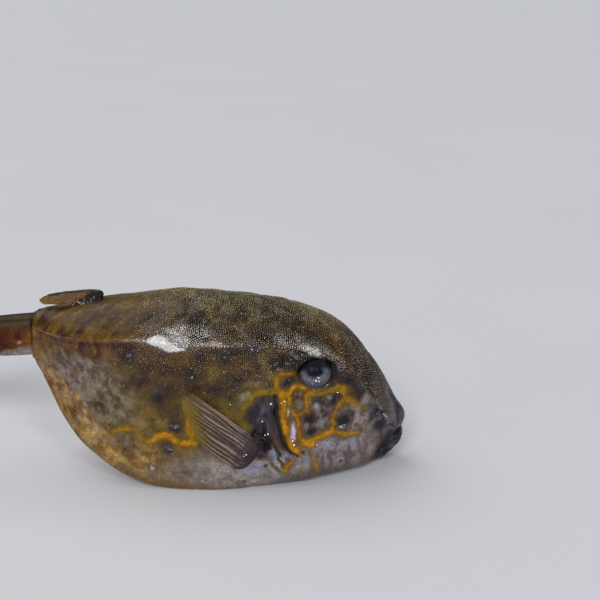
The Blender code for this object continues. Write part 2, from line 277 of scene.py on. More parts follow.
@dataclass(frozen=True)
class ShellForm:
    """The smooth form of the shell, before any relief.

    A point is read at a place along the fish and a turn around it: 0 is the line of the back,
    1 the ridge, 2 the keel and 3 the line of the belly.
    """

    crown: float = 0.52
    belly_level: float = 0.62
    flat_margin: float = 0.6
    taps: int = 9
    stations: tuple[Station, ...] = table(
        Station,
        (0, 0.0858, 0, 0.0088, 0.08, -0.0006, 0.0096, 0.063, 0, 0.0602, 0, 0.2, 0.2),
        (0.0062, 0.0882, 0.008, 0.014, 0.0786, 0.007, 0.0153, 0.0497, 0.0066, 0.0468, 0.0006, 0.12, 0.12),
        (0.019, 0.0894, 0.021, 0.0214, 0.0781, 0.0192, 0.025, 0.0301, 0.0176, 0.0272, 0.0018, 0.09, 0.11),
        (0.035, 0.0932, 0.036, 0.027, 0.0788, 0.0342, 0.0318, 0.0158, 0.0325, 0.0124, 0.0022, 0.08, 0.11),
        (0.055, 0.0952, 0.055, 0.0306, 0.0806, 0.055, 0.0374, 0.004, 0.0545, 0.0006, 0.0018, 0.08, 0.11),
        (0.08, 0.0975, 0.08, 0.0328, 0.0796, 0.08, 0.0402, -0.0006, 0.08, -0.002, 0.0014, 0.11, 0.12),
        (0.105, 0.0954, 0.105, 0.0334, 0.0788, 0.105, 0.0404, -0.0002, 0.105, -0.002, 0.001, 0.12, 0.12),
        (0.128, 0.0922, 0.128, 0.0322, 0.0778, 0.128, 0.0377, 0.0017, 0.128, -0.001, 0.0008, 0.14, 0.13),
        (0.146, 0.0874, 0.145, 0.0304, 0.0745, 0.144, 0.0348, 0.0028, 0.143, 0.0006, 0.0002, 0.16, 0.15),
        (0.1622, 0.0802, 0.16, 0.0272, 0.0668, 0.1575, 0.0302, 0.0038, 0.156, 0.0014, -0.0006, 0.2, 0.18),
        (0.1752, 0.0672, 0.1715, 0.0224, 0.054, 0.1685, 0.0246, 0.004, 0.167, 0.002, -0.0012, 0.26, 0.2),
        (0.1862, 0.051, 0.182, 0.0163, 0.0398, 0.1765, 0.0182, 0.0032, 0.175, 0.002, -0.0016, 0.3, 0.22),
        (0.1957, 0.0345, 0.1908, 0.0108, 0.0274, 0.1816, 0.012, 0.003, 0.1804, 0.0028, -0.0012, 0.32, 0.25),
        (0.2, 0.026, 0.195, 0.0072, 0.0208, 0.185, 0.008, 0.0056, 0.1838, 0.004, -0.0006, 0.34, 0.28),
        (0.1987, 0.0198, 0.1937, 0.0048, 0.0168, 0.1866, 0.0052, 0.0082, 0.1856, 0.007, 0, 0.34, 0.3),
    )

    def numbers(self) -> Array:
        """Gives the stations as rows of numbers, four points first, two of them on the midplane."""
        return np.insert(np.array(self.stations), (1, 9), 0.0, axis=1)

    def places(self) -> Array:
        """Gives how far along the fish each station lies, as the mean length of its four lines."""
        steps = np.linalg.norm(np.diff(self.numbers()[:, :12], axis=0).reshape(-1, 4, 3), axis=2)
        return np.concatenate(([0.0], np.cumsum(steps.mean(axis=1))))

    def sharp_section(self, rows: Array, around: Array) -> Array:
        """Gives points of the half sections before their edges are rounded.

        Args:
            rows: A row of the station table for each section.
            around: Turns for each section, from -1 to 4.

        Returns:
            Points, one for each turn.
        """
        turn = np.where(around < 0, -around, np.where(around > 3, 6 - around, around))
        back, ridge, keel, belly = (rows[:, None, i:i + 3] for i in (0, 3, 6, 9))
        half = np.array([0.0, 1.0, 0.0])
        crown = back + ridge * half * self.crown
        side = (ridge + keel) / 2 - 2 * rows[:, None, 12:13] * half
        floor = belly + keel * half * self.belly_level
        points = np.zeros((*turn.shape, 3))
        arcs = ((0, back, crown, ridge), (1, ridge, side, keel), (2, keel, floor, belly))
        for low, start, control, end in arcs:
            share = np.clip(turn - low, 0, 1)[..., None]
            curve = start * (1 - share) ** 2 + control * 2 * share * (1 - share) + end * share ** 2
            points = np.where((turn >= low)[..., None], curve, points)
        points[..., 1] *= np.where((around < 0) | (around > 3), -1.0, 1.0)
        return points

    def points(self, places: Array, turns: Array) -> Array:
        """Gives points of the left half of the shell.

        Args:
            places: Places along the fish.
            turns: Turns around it, 0 to 3.

        Returns:
            Points by place and turn, in metres from the rim.
        """
        rows = natural_spline(self.places(), self.numbers(), places)
        around = np.broadcast_to(turns, (len(rows), len(turns)))
        near_ridge = np.clip(2 - around, 0, 1)
        reach = rows[:, 13:14] * near_ridge + rows[:, 14:15] * (1 - near_ridge)
        reach = reach * np.clip(np.minimum(around, 3 - around) / self.flat_margin, 0, 1)
        weights = np.hanning(self.taps + 2)[1:-1]
        weights /= weights.sum()
        points = np.zeros((*around.shape, 3))
        for shift, weight in zip(np.linspace(-1, 1, self.taps), weights):
            points += weight * self.sharp_section(rows, around + shift * reach)
        points[:, (turns <= 0) | (turns >= 3), 1] = 0
        return points


@dataclass(frozen=True)
class StalkForm:
    """The smooth form of the tail stalk."""

    squareness: float = 2.5
    rings: tuple[Ring, ...] = table(
        Ring,
        (0.0, 0.085, 0.0621, 0.0076), (-0.01, 0.0842, 0.0613, 0.0074), (-0.022, 0.083, 0.0609, 0.0067),
        (-0.034, 0.0815, 0.0617, 0.0055), (-0.044, 0.0806, 0.0628, 0.0043), (-0.05, 0.0795, 0.064, 0.0031),
        (-0.0525, 0.0775, 0.0662, 0.0018),
    )

    def points(self, places: Array, ring: Array) -> Array:
        """Gives rings whose points lie in the directions of a ring of the shell.

        Args:
            places: Falling x places, 0 at the rim.
            ring: The shell's ring at the rim.

        Returns:
            Points by place and column.
        """
        rows = np.array([(r.top, r.bottom, r.half_width) for r in self.rings])
        knots = np.array([-r.x for r in self.rings])
        read = natural_spline(knots, rows, -places)
        middle = (ring[:, 2].max() + ring[:, 2].min()) / 2
        across = ring[:, 1] / np.abs(ring[:, 1]).max()
        up = (ring[:, 2] - middle) / (ring[:, 2].max() - middle)
        turn = np.arctan2(across, up)
        side, high = np.sin(turn), np.cos(turn)
        power = self.squareness
        reach = (np.abs(side) ** power + np.abs(high) ** power) ** (-1 / power)
        points = np.zeros((len(places), len(ring), 3))
        points[..., 0] = places[:, None]
        points[..., 1] = read[:, 2:3] * (side * reach)[None]
        centre, half = (read[:, 0:1] + read[:, 1:2]) / 2, (read[:, 0:1] - read[:, 1:2]) / 2
        points[..., 2] = centre + half * (high * reach)[None]
        return points


class Spot(NamedTuple):
    """A dark spot on the flank, in millimetres, with how dark it is and how pale its middle."""

    x: float
    z: float
    radius: float
    dark: float
    pale: float = 0.0

    def gap(self, across: Array, up: Array, rough: Array) -> Array:
        """Measures how far flat points lie from its middle, made uneven by a factor."""
        return np.hypot(across - self.x, up - self.z) / rough


class Patch(NamedTuple):
    """A soft-edged oval area: its middle, its reaches and where its edge starts and ends."""

    x: float
    up: float
    reach_x: float
    reach_up: float
    outer: float
    inner: float

    def share(self, across: Array, up: Array, rough: Array | float = 0.0) -> Array:
        """Gives how far flat points lie inside, with the edge moved by a noise."""
        gap = np.hypot((across - self.x) / self.reach_x, (up - self.up) / self.reach_up)
        return ease(gap + rough, self.outer, self.inner)


class Tint(NamedTuple):
    """A soft oval of a display colour: middle, reaches in millimetres, slope in degrees and share."""

    x: float
    z: float
    reach_x: float
    reach_z: float
    slope: float
    shade: Shade
    share: float


class Blotch(NamedTuple):
    """Two display colours mingled inside a soft oval, in patches of a size, drawn out along a slope."""

    x: float
    z: float
    reach_x: float
    reach_z: float
    slope: float
    dark: Shade
    pale: Shade
    size: float
    stretch: float
    along: float
    share: float


class Strand(NamedTuple):
    """A strand of the yellow network, its half width in millimetres and how olive and faint it is."""

    half_width: float
    olive: float
    faint: float
    path: tuple[Flat, ...]


def rotated(across: Array, up: Array, degrees: float) -> tuple[Array, Array]:
    """Turns flat points, so that their first coordinate runs along a slope."""
    sine, cosine = math.sin(math.radians(degrees)), math.cos(math.radians(degrees))
    return across * cosine + up * sine, -across * sine + up * cosine


def oval(mark: Tint | Blotch, across: Array, up: Array) -> Array:
    """Gives the share of a soft oval mark at flat points."""
    along, beside = rotated(across - mark.x, up - mark.z, mark.slope)
    return mark.share * ease(np.hypot(along / mark.reach_x, beside / mark.reach_z), 1.35, 0.45)


@dataclass
class Places:
    """Points of the skin as the marks read them: millimetres from the rim, and the turn with its side."""

    x: Array
    y: Array
    z: Array
    turn: Array

    def __post_init__(self) -> None:
        """Works out the turn without its side, and how far each point belongs to each face."""
        self.around = np.abs(self.turn)
        self.on_shell = self.x >= STALK_EDGE
        self.flank = between(self.around, 0.8, 1.06, 2.05, 2.3)
        self.back = ease(self.around, 1.04, 0.86)
        self.belly = ease(self.around, 1.98, 2.16)

    def pick(self, keep: Array) -> "Places":
        """Gives some of the points."""
        return Places(self.x[keep], self.y[keep], self.z[keep], self.turn[keep])


@dataclass(frozen=True)
class Marks:
    """Everything drawn on the skin, by place."""

    plate_pitch: float = 17.0
    plate_wander: float = 1.6
    eye: Flat = (149.8, 61.4)
    eye_stretch: float = 1.16
    slit: tuple[Flat, ...] = (
        (128.8, 51.0), (129.4, 46.6), (129.5, 41.6), (130.5, 35.2), (131.8, 30.0), (133.2, 25.4),
        (135.2, 21.4), (137.6, 18.6), (140.0, 17.0))
    fold: tuple[Flat, ...] = (
        (125.2, 50.0), (125.8, 43.5), (126.8, 37.0), (127.8, 30.2), (129.7, 24.1), (132.3, 18.9))
    brow: tuple[Flat, ...] = (
        (131.0, 79.8), (139.0, 78.6), (146.0, 76.6), (152.5, 72.6), (158.0, 68.4), (162.6, 64.4))
    fin_pit: tuple[Flat, ...] = ((115.7, 28.4), (119.0, 29.2), (122.0, 29.0), (125.1, 26.7), (125.6, 21.5))
    lower_slits: tuple[tuple[Flat, ...], ...] = (
        ((128.6, 22.9), (130.2, 20.2), (131.8, 17.7)),
        ((130.2, 16.2), (131.8, 14.2), (133.3, 11.6)),
    )
    # Painted sheen: a bright highlight on the shoulder, given by place along the fish with its middle and
    # half width across the ridge, a fainter patch beside it and a band on the brow.
    sheen_patch: tuple[Triple, ...] = (
        (61.5, -0.5, 0.7), (63.3, -0.5, 0.9), (67.1, -0.3, 2.0), (70.8, 0.2, 3.0), (73.5, 0.9, 3.4),
        (76.2, 2.0, 2.8), (79.5, 2.8, 1.6), (82.7, 2.8, 0.8), (84.5, 2.7, 0.5))
    sheen_beside: Patch = Patch(80, -1.4, 9.5, 4.8, 1.15, 0.35)
    sheen_brow: Patch = Patch(147, 0, 11.5, 3.8, 1.2, 0.1)
    # Painted sparkle of lit granule tips on darkened skin, over the shoulder and behind the brow.
    sparkle_shoulder: Patch = Patch(82, 0, 17.5, 0.155, 1.15, 0.45)
    sparkle_behind: Patch = Patch(130, 0.9, 15, 0.12, 1.15, 0.45)
    wet_shoulder: Patch = Patch(74, 1, 14, 0.09, 1.25, 0.6)
    wet_gill: Patch = Patch(124, 34, 11, 22, 1.1, 0.7)
    dull_temple: Patch = Patch(138, 68, 12, 8, 1.2, 0.7)
    even_cheek: Patch = Patch(158, 32, 24, 24, 1.15, 0.75)
    soft_cheek: Patch = Patch(156, 34, 22, 20, 1.15, 0.8)
    gill_flap: Patch = Patch(122, 39, 8.4, 12.5, 1.12, 0.8)
    soft_gill: Patch = Patch(122, 38, 8.6, 13.5, 1.25, 0.95)
    soft_fin_root: Patch = Patch(121, 22, 7, 7, 1.3, 0.9)
    strands: tuple[Strand, ...] = table(
        Strand,
        (1.2, 0.45, 0, ((136.6, 63), (133.4, 63.3), (130.6, 61.7), (129.4, 58.8), (130.1, 55.6),
            (132.1, 52.4))),
        (1.8, 0, 0, ((132.4, 52.6), (133.2, 47.6), (133.2, 42.1), (133.4, 36.6), (134.5, 31),
            (136.1, 25.8), (138, 22.1), (140, 19.5))),
        (1, 0, 0, ((136, 49.7), (136.6, 45.3), (138.2, 41.4), (139.8, 39), (140.7, 35), (141.3, 30.7),
            (142.2, 26.7), (144.4, 24.1))),
        (1.4, 0.15, 0, ((132.6, 51.4), (135, 51.8), (137, 53.9), (140.3, 56), (143.2, 54.9),
            (145.8, 52.4), (149, 51.6))),
        (1.3, 0.75, 0.2, ((149, 51.6), (152.8, 51.2), (156.8, 52.1), (160.6, 53.1))),
        (1.1, 0.35, 0.05, ((144.4, 52.5), (145.4, 47), (145, 42.6), (141.7, 40.5), (139.8, 39))),
        (0.7, 0.6, 0.35, ((146, 50.1), (146.3, 45.7), (145.9, 41.3))),
        (1.5, 0.65, 0.1, ((161.5, 53.5), (164.3, 50.9), (166, 47.2), (169.1, 43.7))),
        (1, 0.75, 0.25, ((169.1, 43.7), (172.5, 41.8), (176.4, 38.6))),
        (1, 0.45, 0.15, ((164.9, 46.3), (162.7, 43.5), (160.7, 40.4), (159.1, 36.8), (158.7, 32.2),
            (158.3, 28.9))),
        (1.5, 0.1, 0, ((142.8, 25.6), (145.9, 25), (149.7, 25.6), (153.3, 27.2), (157.7, 28.8),
            (161.2, 28.2))),
        (1.4, 0.45, 0.1, ((161.2, 28.2), (165.7, 26.2), (169.5, 25.6), (172.8, 25.2))),
        (2.4, 0, 0, ((145.3, 24.6), (147.5, 23.9))),
        (0.6, 0.35, 0.15, ((146.5, 20.7), (148.5, 15.8), (150.2, 11), (151.3, 6.8))),
        (0.7, 0.2, 0.6, ((142.4, 17.8), (143.3, 13), (142.9, 8.6))),
        (0.9, 0.35, 0.1, ((140.3, 18.3), (137.7, 15.8), (135.5, 12.6), (134.5, 9.4))),
        (1.7, 0.85, 0.2, ((129.4, 53.6), (125.2, 53.2), (121.2, 53), (117.6, 51.5), (115, 48.2),
            (112.7, 45.1))),
        (1.3, 1, 0.4, ((112.7, 45.1), (111.7, 41.2), (112.1, 37.5), (114.4, 34))),
        (1.3, 0.6, 0.12, ((43.6, 30.2), (46.4, 31.1), (50.7, 32), (55.4, 31.7), (58.6, 28),
            (61.8, 26.2), (65.7, 26.5))),
        (1.6, 0.2, 0, ((62.4, 25.8), (65.7, 26.5), (68.6, 29.2), (73.5, 29), (77.5, 26.2), (81, 25.6),
            (84.6, 26.2), (86.1, 29.8), (85.9, 34))),
        (2.8, 0.5, 0, ((86.2, 27.6), (85.2, 33), (84.8, 38.9), (83.8, 43.1), (82.6, 47))),
    )
    spots: tuple[Spot, ...] = table(
        Spot,
        (85.6, 62.5, 3.1, 1, 0.08), (68.4, 49.8, 2.8, 0.95), (77.2, 34.6, 3.9, 0.6, 0.25),
        (54.2, 72.4, 3.7, 0.65, 0.25), (50.4, 24.4, 3.4, 0.4, 0.2), (73, 22.2, 3.2, 0.6, 0.25),
        (64.4, 11.6, 2.6, 0.1, 0.7), (80.8, 9, 2.4, 0.15, 0.6), (57.6, 57.6, 2.6, 0.4),
        (53.1, 55.5, 2.4, 0.3), (103.6, 72.6, 3.2, 0.6), (117.5, 76.6, 2.6, 1, 0.3),
        (121.6, 77.2, 2, 0.95, 0.3), (128.7, 68, 2.7, 1, 0.2), (132.4, 66.2, 2, 0.5),
        (137.5, 67.7, 1.5, 0.95), (136.5, 64.8, 1.5, 0.9), (136.7, 58.5, 3.3, 0.8), (139.6, 58.9, 1, 0.95),
        (100.2, 54.6, 3.2, 0.4), (143.5, 50.4, 1.8, 0.8), (140.6, 49.6, 1.3, 0.5), (145.9, 38, 2.6, 0.8),
        (147, 29.7, 2.2, 0.85), (156.4, 39.4, 2, 0.6), (163.8, 34.2, 3.6, 0.9), (159, 44.8, 2.4, 0.4),
        (171.5, 30.2, 2, 0.6), (174.4, 26.4, 1.2, 0.5), (163.7, 10.8, 1.1, 0.85), (112.4, 5, 1.1, 0.9),
        (185.3, 25.2, 2.7, 0.65), (123.6, 13.2, 1.2, 0.85), (143.4, 19.2, 1.9, 0.8), (152, 47.6, 2.2, 0.35),
        (130.4, 70.6, 1.4, 0.7), (110, 60, 3, 0.35), (36, 43.5, 3.4, 0.3), (91, 72, 2.6, 0.4),
        (117.5, 40.5, 2.4, 0.8), (179.1, 38.9, 2.4, 0.6), (21.6, 50.2, 1.6, 0.4),
        (124.6, 57.8, 2.4, 0.35, 0.2),
    )
    knobs: int = 2
    pearls: tuple[Tint, ...] = table(
        Tint,
        (135.6, 41.9, 0.9, 2.9, -8, (150, 140, 124), 0.9), (137.9, 29.2, 1.9, 6, -6, (168, 166, 186), 0.95),
        (141, 46.4, 1.9, 2.4, 0, (92, 88, 80), 0.7), (153.2, 34.4, 2.8, 3.2, 0, (98, 98, 98), 0.65),
        (163.9, 31, 2.2, 1.2, -10, (118, 118, 136), 0.5), (126.4, 37.5, 1.3, 13, 8, (53, 46, 55), 0.8),
        # The small pale lavender tint at (126.8, 46.7) is a painted glint on the gill fold.
        (122.4, 42.2, 1.4, 2.4, -20, (72, 74, 96), 0.5), (126.8, 46.7, 0.7, 0.7, 0, (150, 134, 168), 0.7),
        (127.2, 19.8, 1.7, 5, 24, (98, 104, 118), 0.8), (133.7, 17.9, 1.8, 1.4, 0, (104, 106, 122), 0.75),
        (117, 11.6, 7.5, 3.2, 8, (106, 108, 124), 0.75), (121.9, 24.2, 3, 3.8, 0, (36, 30, 34), 0.9),
        (114, 51.6, 2.2, 3.2, -45, (132, 122, 112), 0.65),
        (143.9, 13.4, 3.6, 5.2, -10, (114, 112, 124), 0.6),
        (154, 22.6, 6.5, 2.6, 24, (118, 114, 126), 0.55), (168.5, 20.8, 3.6, 2.6, 0, (112, 112, 124), 0.5),
        (170.9, 40.4, 3.4, 2, -30, (130, 118, 116), 0.6), (136.4, 21.2, 1, 2.6, 24, (22, 18, 22), 0.9),
        (129.6, 31, 1.7, 10, 12, (54, 47, 54), 0.9), (138.4, 49.8, 1.2, 2.2, 10, (46, 38, 44), 0.6),
        (148.2, 39.6, 2, 2.8, 0, (40, 32, 38), 0.75), (148.6, 30.6, 2.6, 1.8, 10, (44, 36, 42), 0.7),
        (166.6, 38.2, 3, 2.2, -30, (52, 42, 40), 0.6), (171.6, 33, 1.6, 6.5, -14, (132, 118, 114), 0.6),
        (175.7, 20, 0.7, 3.4, 4, (104, 74, 56), 0.6), (181.5, 33, 2.2, 3, -40, (34, 31, 36), 0.75),
        (186, 36, 1.8, 1.2, -50, (142, 142, 150), 0.6), (184, 39.5, 2.4, 1.4, -50, (120, 118, 124), 0.5),
        (135, 69, 1.4, 1, 0, (92, 96, 104), 0.6), (131.6, 65.4, 2, 0.9, -10, (120, 120, 134), 0.7),
        (153.6, 41, 1.7, 1.5, 0, (46, 36, 44), 0.7), (155.4, 33, 1.5, 2.2, 0, (48, 38, 46), 0.6),
        (145.2, 34.4, 1.2, 2.4, 0, (104, 104, 118), 0.45), (190.5, 27, 2.6, 1.6, -50, (104, 104, 112), 0.5),
        # The broad tint at (150, 4) darkens the lower edge of the head: partly its own darker skin and partly
        # painted shadow near the floor.
        (150, 4, 24, 5.5, 4, (70, 64, 63), 0.85), (187.4, 11.6, 2.6, 8.6, -32, (24, 22, 27), 0.96),
        (150.2, 44.6, 1.7, 1.4, 20, (126, 124, 128), 0.55),
        (157, 48.4, 1.6, 1.2, -20, (120, 116, 116), 0.55),
    )
    plates: tuple[Flat, ...] = (
        (8, 72), (24, 72), (39, 71), (54.5, 72.9), (71, 69), (87, 76), (103.6, 72.6), (119, 74), (16, 57),
        (31, 58), (45, 58), (56, 55), (70.7, 51.3), (85.6, 62), (98, 62), (112, 62), (125, 62), (24, 44),
        (39, 44), (53, 42), (62, 41), (92, 48), (104, 48), (34, 29), (44, 34), (54.5, 25.4), (75.7, 35),
        (64, 33), (72.2, 21), (90, 33), (88, 18), (103, 22), (45, 16), (61, 12), (78, 8), (97, 8),
        (112, 12), (128, 8), (145, 12), (162, 16), (174, 14), (135.4, 57.1), (142.2, 48), (152, 46),
        (160.5, 45), (147.4, 35), (153.8, 35.4), (163.8, 34.4), (169, 43), (173, 34), (138, 35), (150, 75),
        (140, 73), (162, 62), (172, 54), (180, 42), (186, 30),
    )
    tints: tuple[Tint, ...] = table(
        Tint,
        (6, 74, 13, 9, 0, (87, 66, 29), 0.9), (29, 73, 24, 7, 0, (72, 54, 30), 0.9),
        (28, 58, 22, 11, -8, (89, 77, 70), 0.9), (42, 49, 17, 15, 0, (88, 77, 62), 0.85),
        (24, 38, 27, 8, -50, (104, 83, 57), 0.9), (29, 31, 8, 5, -45, (122, 94, 61), 0.5),
        (38, 22, 16, 5, -36, (110, 83, 50), 0.6), (50, 19, 18, 9, 0, (106, 82, 44), 0.85),
        (68, 12, 16, 8, 0, (112, 96, 74), 0.6), (55, 35, 12, 10, 0, (83, 71, 54), 0.7),
        (66, 57, 9, 17, 0, (60, 47, 25), 0.8), (77, 56, 6, 15, 0, (62, 49, 24), 0.7),
        (90, 53, 9, 11, 0, (59, 43, 19), 0.8), (88, 46, 7, 8, 0, (69, 55, 28), 0.6),
        (98, 63.5, 4.2, 3.4, 10, (112, 98, 58), 0.8), (56, 64, 6, 4, 0, (100, 84, 56), 0.6),
        (106, 50, 9, 12, 0, (64, 55, 28), 0.7), (118, 62, 15, 10, 0, (76, 62, 40), 0.6),
        (124, 71, 8, 6, 0, (86, 74, 52), 0.6), (112, 50, 4, 5, 0, (126, 116, 96), 0.45),
        (96, 32, 16, 14, 0, (84, 78, 61), 0.6), (101.8, 44.6, 2.8, 2.4, 0, (150, 116, 20), 0.7),
        (103.6, 12.2, 4, 2.8, 0, (140, 122, 36), 0.9), (119, 8.4, 5, 1.6, 0, (150, 140, 84), 0.5),
        (104, 15, 26, 10, 0, (100, 94, 84), 0.8), (118, 7, 34, 6, 0, (104, 98, 92), 0.8),
        (158, 14, 26, 12, 4, (94, 86, 87), 0.95), (150, 21, 9, 6, 10, (108, 102, 108), 0.7),
        (176, 22, 9, 12, 20, (100, 90, 89), 0.8), (156, 40, 15, 13, 0, (84, 74, 62), 0.85),
        (171, 37, 6, 8, 40, (104, 92, 84), 0.7), (139, 45, 6, 18, 0, (86, 64, 36), 0.5),
        # The thin dark band at (106, 75.6) is painted shade just under the ridge.
        (136, 68, 14, 5, -14, (39, 33, 28), 0.85), (106, 75.6, 15, 2.4, 0, (40, 31, 25), 0.85),
        # These two near-black tints over the eye are partly the skin's own dark and partly painted shade
        # under the brow.
        (148, 70, 12, 4, -20, (30, 27, 30), 0.9), (139, 69.5, 7.5, 5, -15, (18, 16, 16), 0.9),
        (160, 60, 7, 9, 0, (22, 19, 18), 0.9), (168, 55, 10, 11, -50, (34, 27, 23), 0.9),
        (176, 47, 8, 7, -50, (36, 29, 25), 0.9), (187, 33, 10, 9, -50, (78, 73, 76), 0.95),
        (180, 37, 4, 3, -50, (60, 54, 50), 0.6), (194, 24, 6, 7, -50, (52, 48, 52), 0.9),
        (190, 15, 6.5, 12, -30, (19, 18, 22), 0.95), (186, 5, 5, 4.5, 0, (36, 33, 39), 0.9),
        (134.5, 24, 3, 9, 22, (44, 40, 46), 0.9), (122, 41, 8.5, 12, -4, (39, 36, 42), 0.95),
        (119, 44, 4, 5, 0, (44, 42, 48), 0.6), (121, 23, 7, 7, 0, (40, 36, 40), 0.9),
        (131, 14, 8, 5, -40, (92, 88, 92), 0.8), (135.4, 57.2, 4.4, 4.2, 0, (62, 50, 54), 0.8),
    )
    blotches: tuple[Blotch, ...] = table(
        Blotch,
        (28, 74, 30, 8, 0, (50, 31, 13), (90, 65, 28), 2.1, 2, -76, 0.82),
        (5, 72, 9, 10, 0, (70, 49, 12), (106, 80, 26), 3, 1.5, -80, 0.85),
        (30, 57, 27, 13, -20, (66, 56, 48), (112, 103, 98), 2.6, 1.9, -58, 0.8),
        (46, 46, 17, 16, 0, (60, 54, 44), (108, 98, 78), 3, 1.5, -50, 0.75),
        (23, 40, 32, 8, -50, (80, 54, 24), (134, 108, 76), 2.3, 1.8, -56, 0.9),
        (42, 21, 20, 6, -28, (92, 64, 22), (142, 118, 80), 2.4, 1.8, -40, 0.8),
        (56, 20, 22, 10, 0, (84, 62, 26), (134, 108, 66), 3.4, 1.3, -30, 0.75),
        (76, 58, 28, 21, 0, (51, 39, 19), (76, 60, 28), 5, 1.2, 20, 0.78),
        (100, 54, 18, 16, 0, (54, 45, 23), (88, 74, 33), 5, 1.2, 0, 0.72),
        (80, 34, 30, 14, 0, (62, 53, 31), (106, 86, 41), 4.5, 1.2, 0, 0.65),
        (108, 10, 36, 8, 0, (94, 88, 88), (132, 122, 118), 3.6, 1.8, 0, 0.75),
        (125, 63, 13, 11, 0, (50, 43, 36), (110, 96, 66), 3.6, 1.1, 0, 0.7),
        (157, 42, 21, 15, 0, (42, 34, 35), (100, 90, 84), 2.3, 1.2, -70, 0.9),
        (169, 57, 15, 16, -55, (16, 13, 14), (64, 48, 32), 3.2, 1.2, -55, 0.94),
        (177, 39, 4.5, 8, -20, (70, 62, 62), (150, 140, 136), 2.6, 1.2, -60, 0.75),
        (122, 40, 9, 13, -6, (21, 19, 23), (58, 56, 63), 2, 2.2, -70, 0.92),
        (160, 14, 28, 11, 4, (77, 70, 70), (111, 103, 104), 2.2, 2.2, -84, 0.85),
        (188, 31, 11, 8, -50, (34, 31, 37), (112, 108, 114), 2.6, 1.3, -50, 0.88),
        (121, 22, 7, 7, 0, (26, 22, 26), (64, 56, 62), 2.4, 1.6, -40, 0.85),
        (131, 14, 7, 6, -40, (60, 54, 52), (138, 130, 118), 2, 2, -55, 0.85),
    )
    back_blotches: tuple[Blotch, ...] = table(
        Blotch,
        (26, 14, 34, 26, 0, (54, 40, 12), (104, 80, 26), 3, 2.6, -36, 0.82),
        (56, 20, 20, 18, 0, (58, 44, 20), (98, 77, 37), 3.6, 2.4, -36, 0.7),
        (92, 24, 26, 14, 0, (34, 28, 24), (88, 72, 46), 5, 1.5, 0, 0.85),
        (112, 8, 34, 16, 0, (54, 48, 34), (96, 88, 62), 5, 1.3, 0, 0.8),
        (140, 22, 18, 12, 0, (44, 37, 28), (83, 72, 53), 4, 1.4, 0, 0.8),
        (159, 18, 12, 10, 0, (58, 46, 22), (112, 86, 34), 3.6, 1.4, 20, 0.85),
        (178, 10, 14, 18, 0, (24, 20, 20), (74, 62, 48), 3.4, 1.2, 0, 0.9),
        (194, 0, 9, 16, 0, (50, 46, 50), (100, 94, 98), 3.2, 1.2, 0, 0.8),
    )
    back_tints: tuple[Tint, ...] = table(
        Tint,
        (10, 0, 16, 22, 0, (76, 56, 14), 0.9), (40, 14, 30, 20, 0, (88, 67, 28), 0.85),
        (24, 4, 16, 9, 0, (60, 46, 18), 0.8), (24, 22, 15, 8, 0, (76, 56, 18), 0.7),
        (60, 22, 7, 5, 0, (101, 94, 83), 0.6), (58, 0, 30, 12, 0, (98, 81, 46), 0.6),
        (92, 18, 18, 14, 0, (66, 56, 40), 0.8), (86, 28, 17, 6, 0, (36, 30, 26), 0.85),
        (108, 6, 24, 12, 0, (82, 76, 56), 0.8), (120, 24, 22, 8, 0, (60, 51, 41), 0.7),
        (150, 8, 16, 10, 0, (84, 74, 50), 0.7), (158, 20, 9, 6, 0, (96, 72, 28), 0.85),
        (132, 29, 16, 6, 0, (30, 24, 21), 0.8), (150, 27, 12, 4, 0, (42, 37, 32), 0.7),
        (176, 10, 12, 16, 0, (54, 47, 40), 0.9), (186, 0, 10, 14, 0, (58, 53, 52), 0.9),
        (196, 0, 7, 12, 0, (64, 60, 64), 0.9),
    )

    def eye_gap(self, x: Array, z: Array) -> tuple[Array, Array, Array]:
        """Gives how far points lie in front of the middle of the eye and over it, and how far in all."""
        across, up = (x - self.eye[0]) / self.eye_stretch, z - self.eye[1]
        return across, up, np.hypot(across, up)


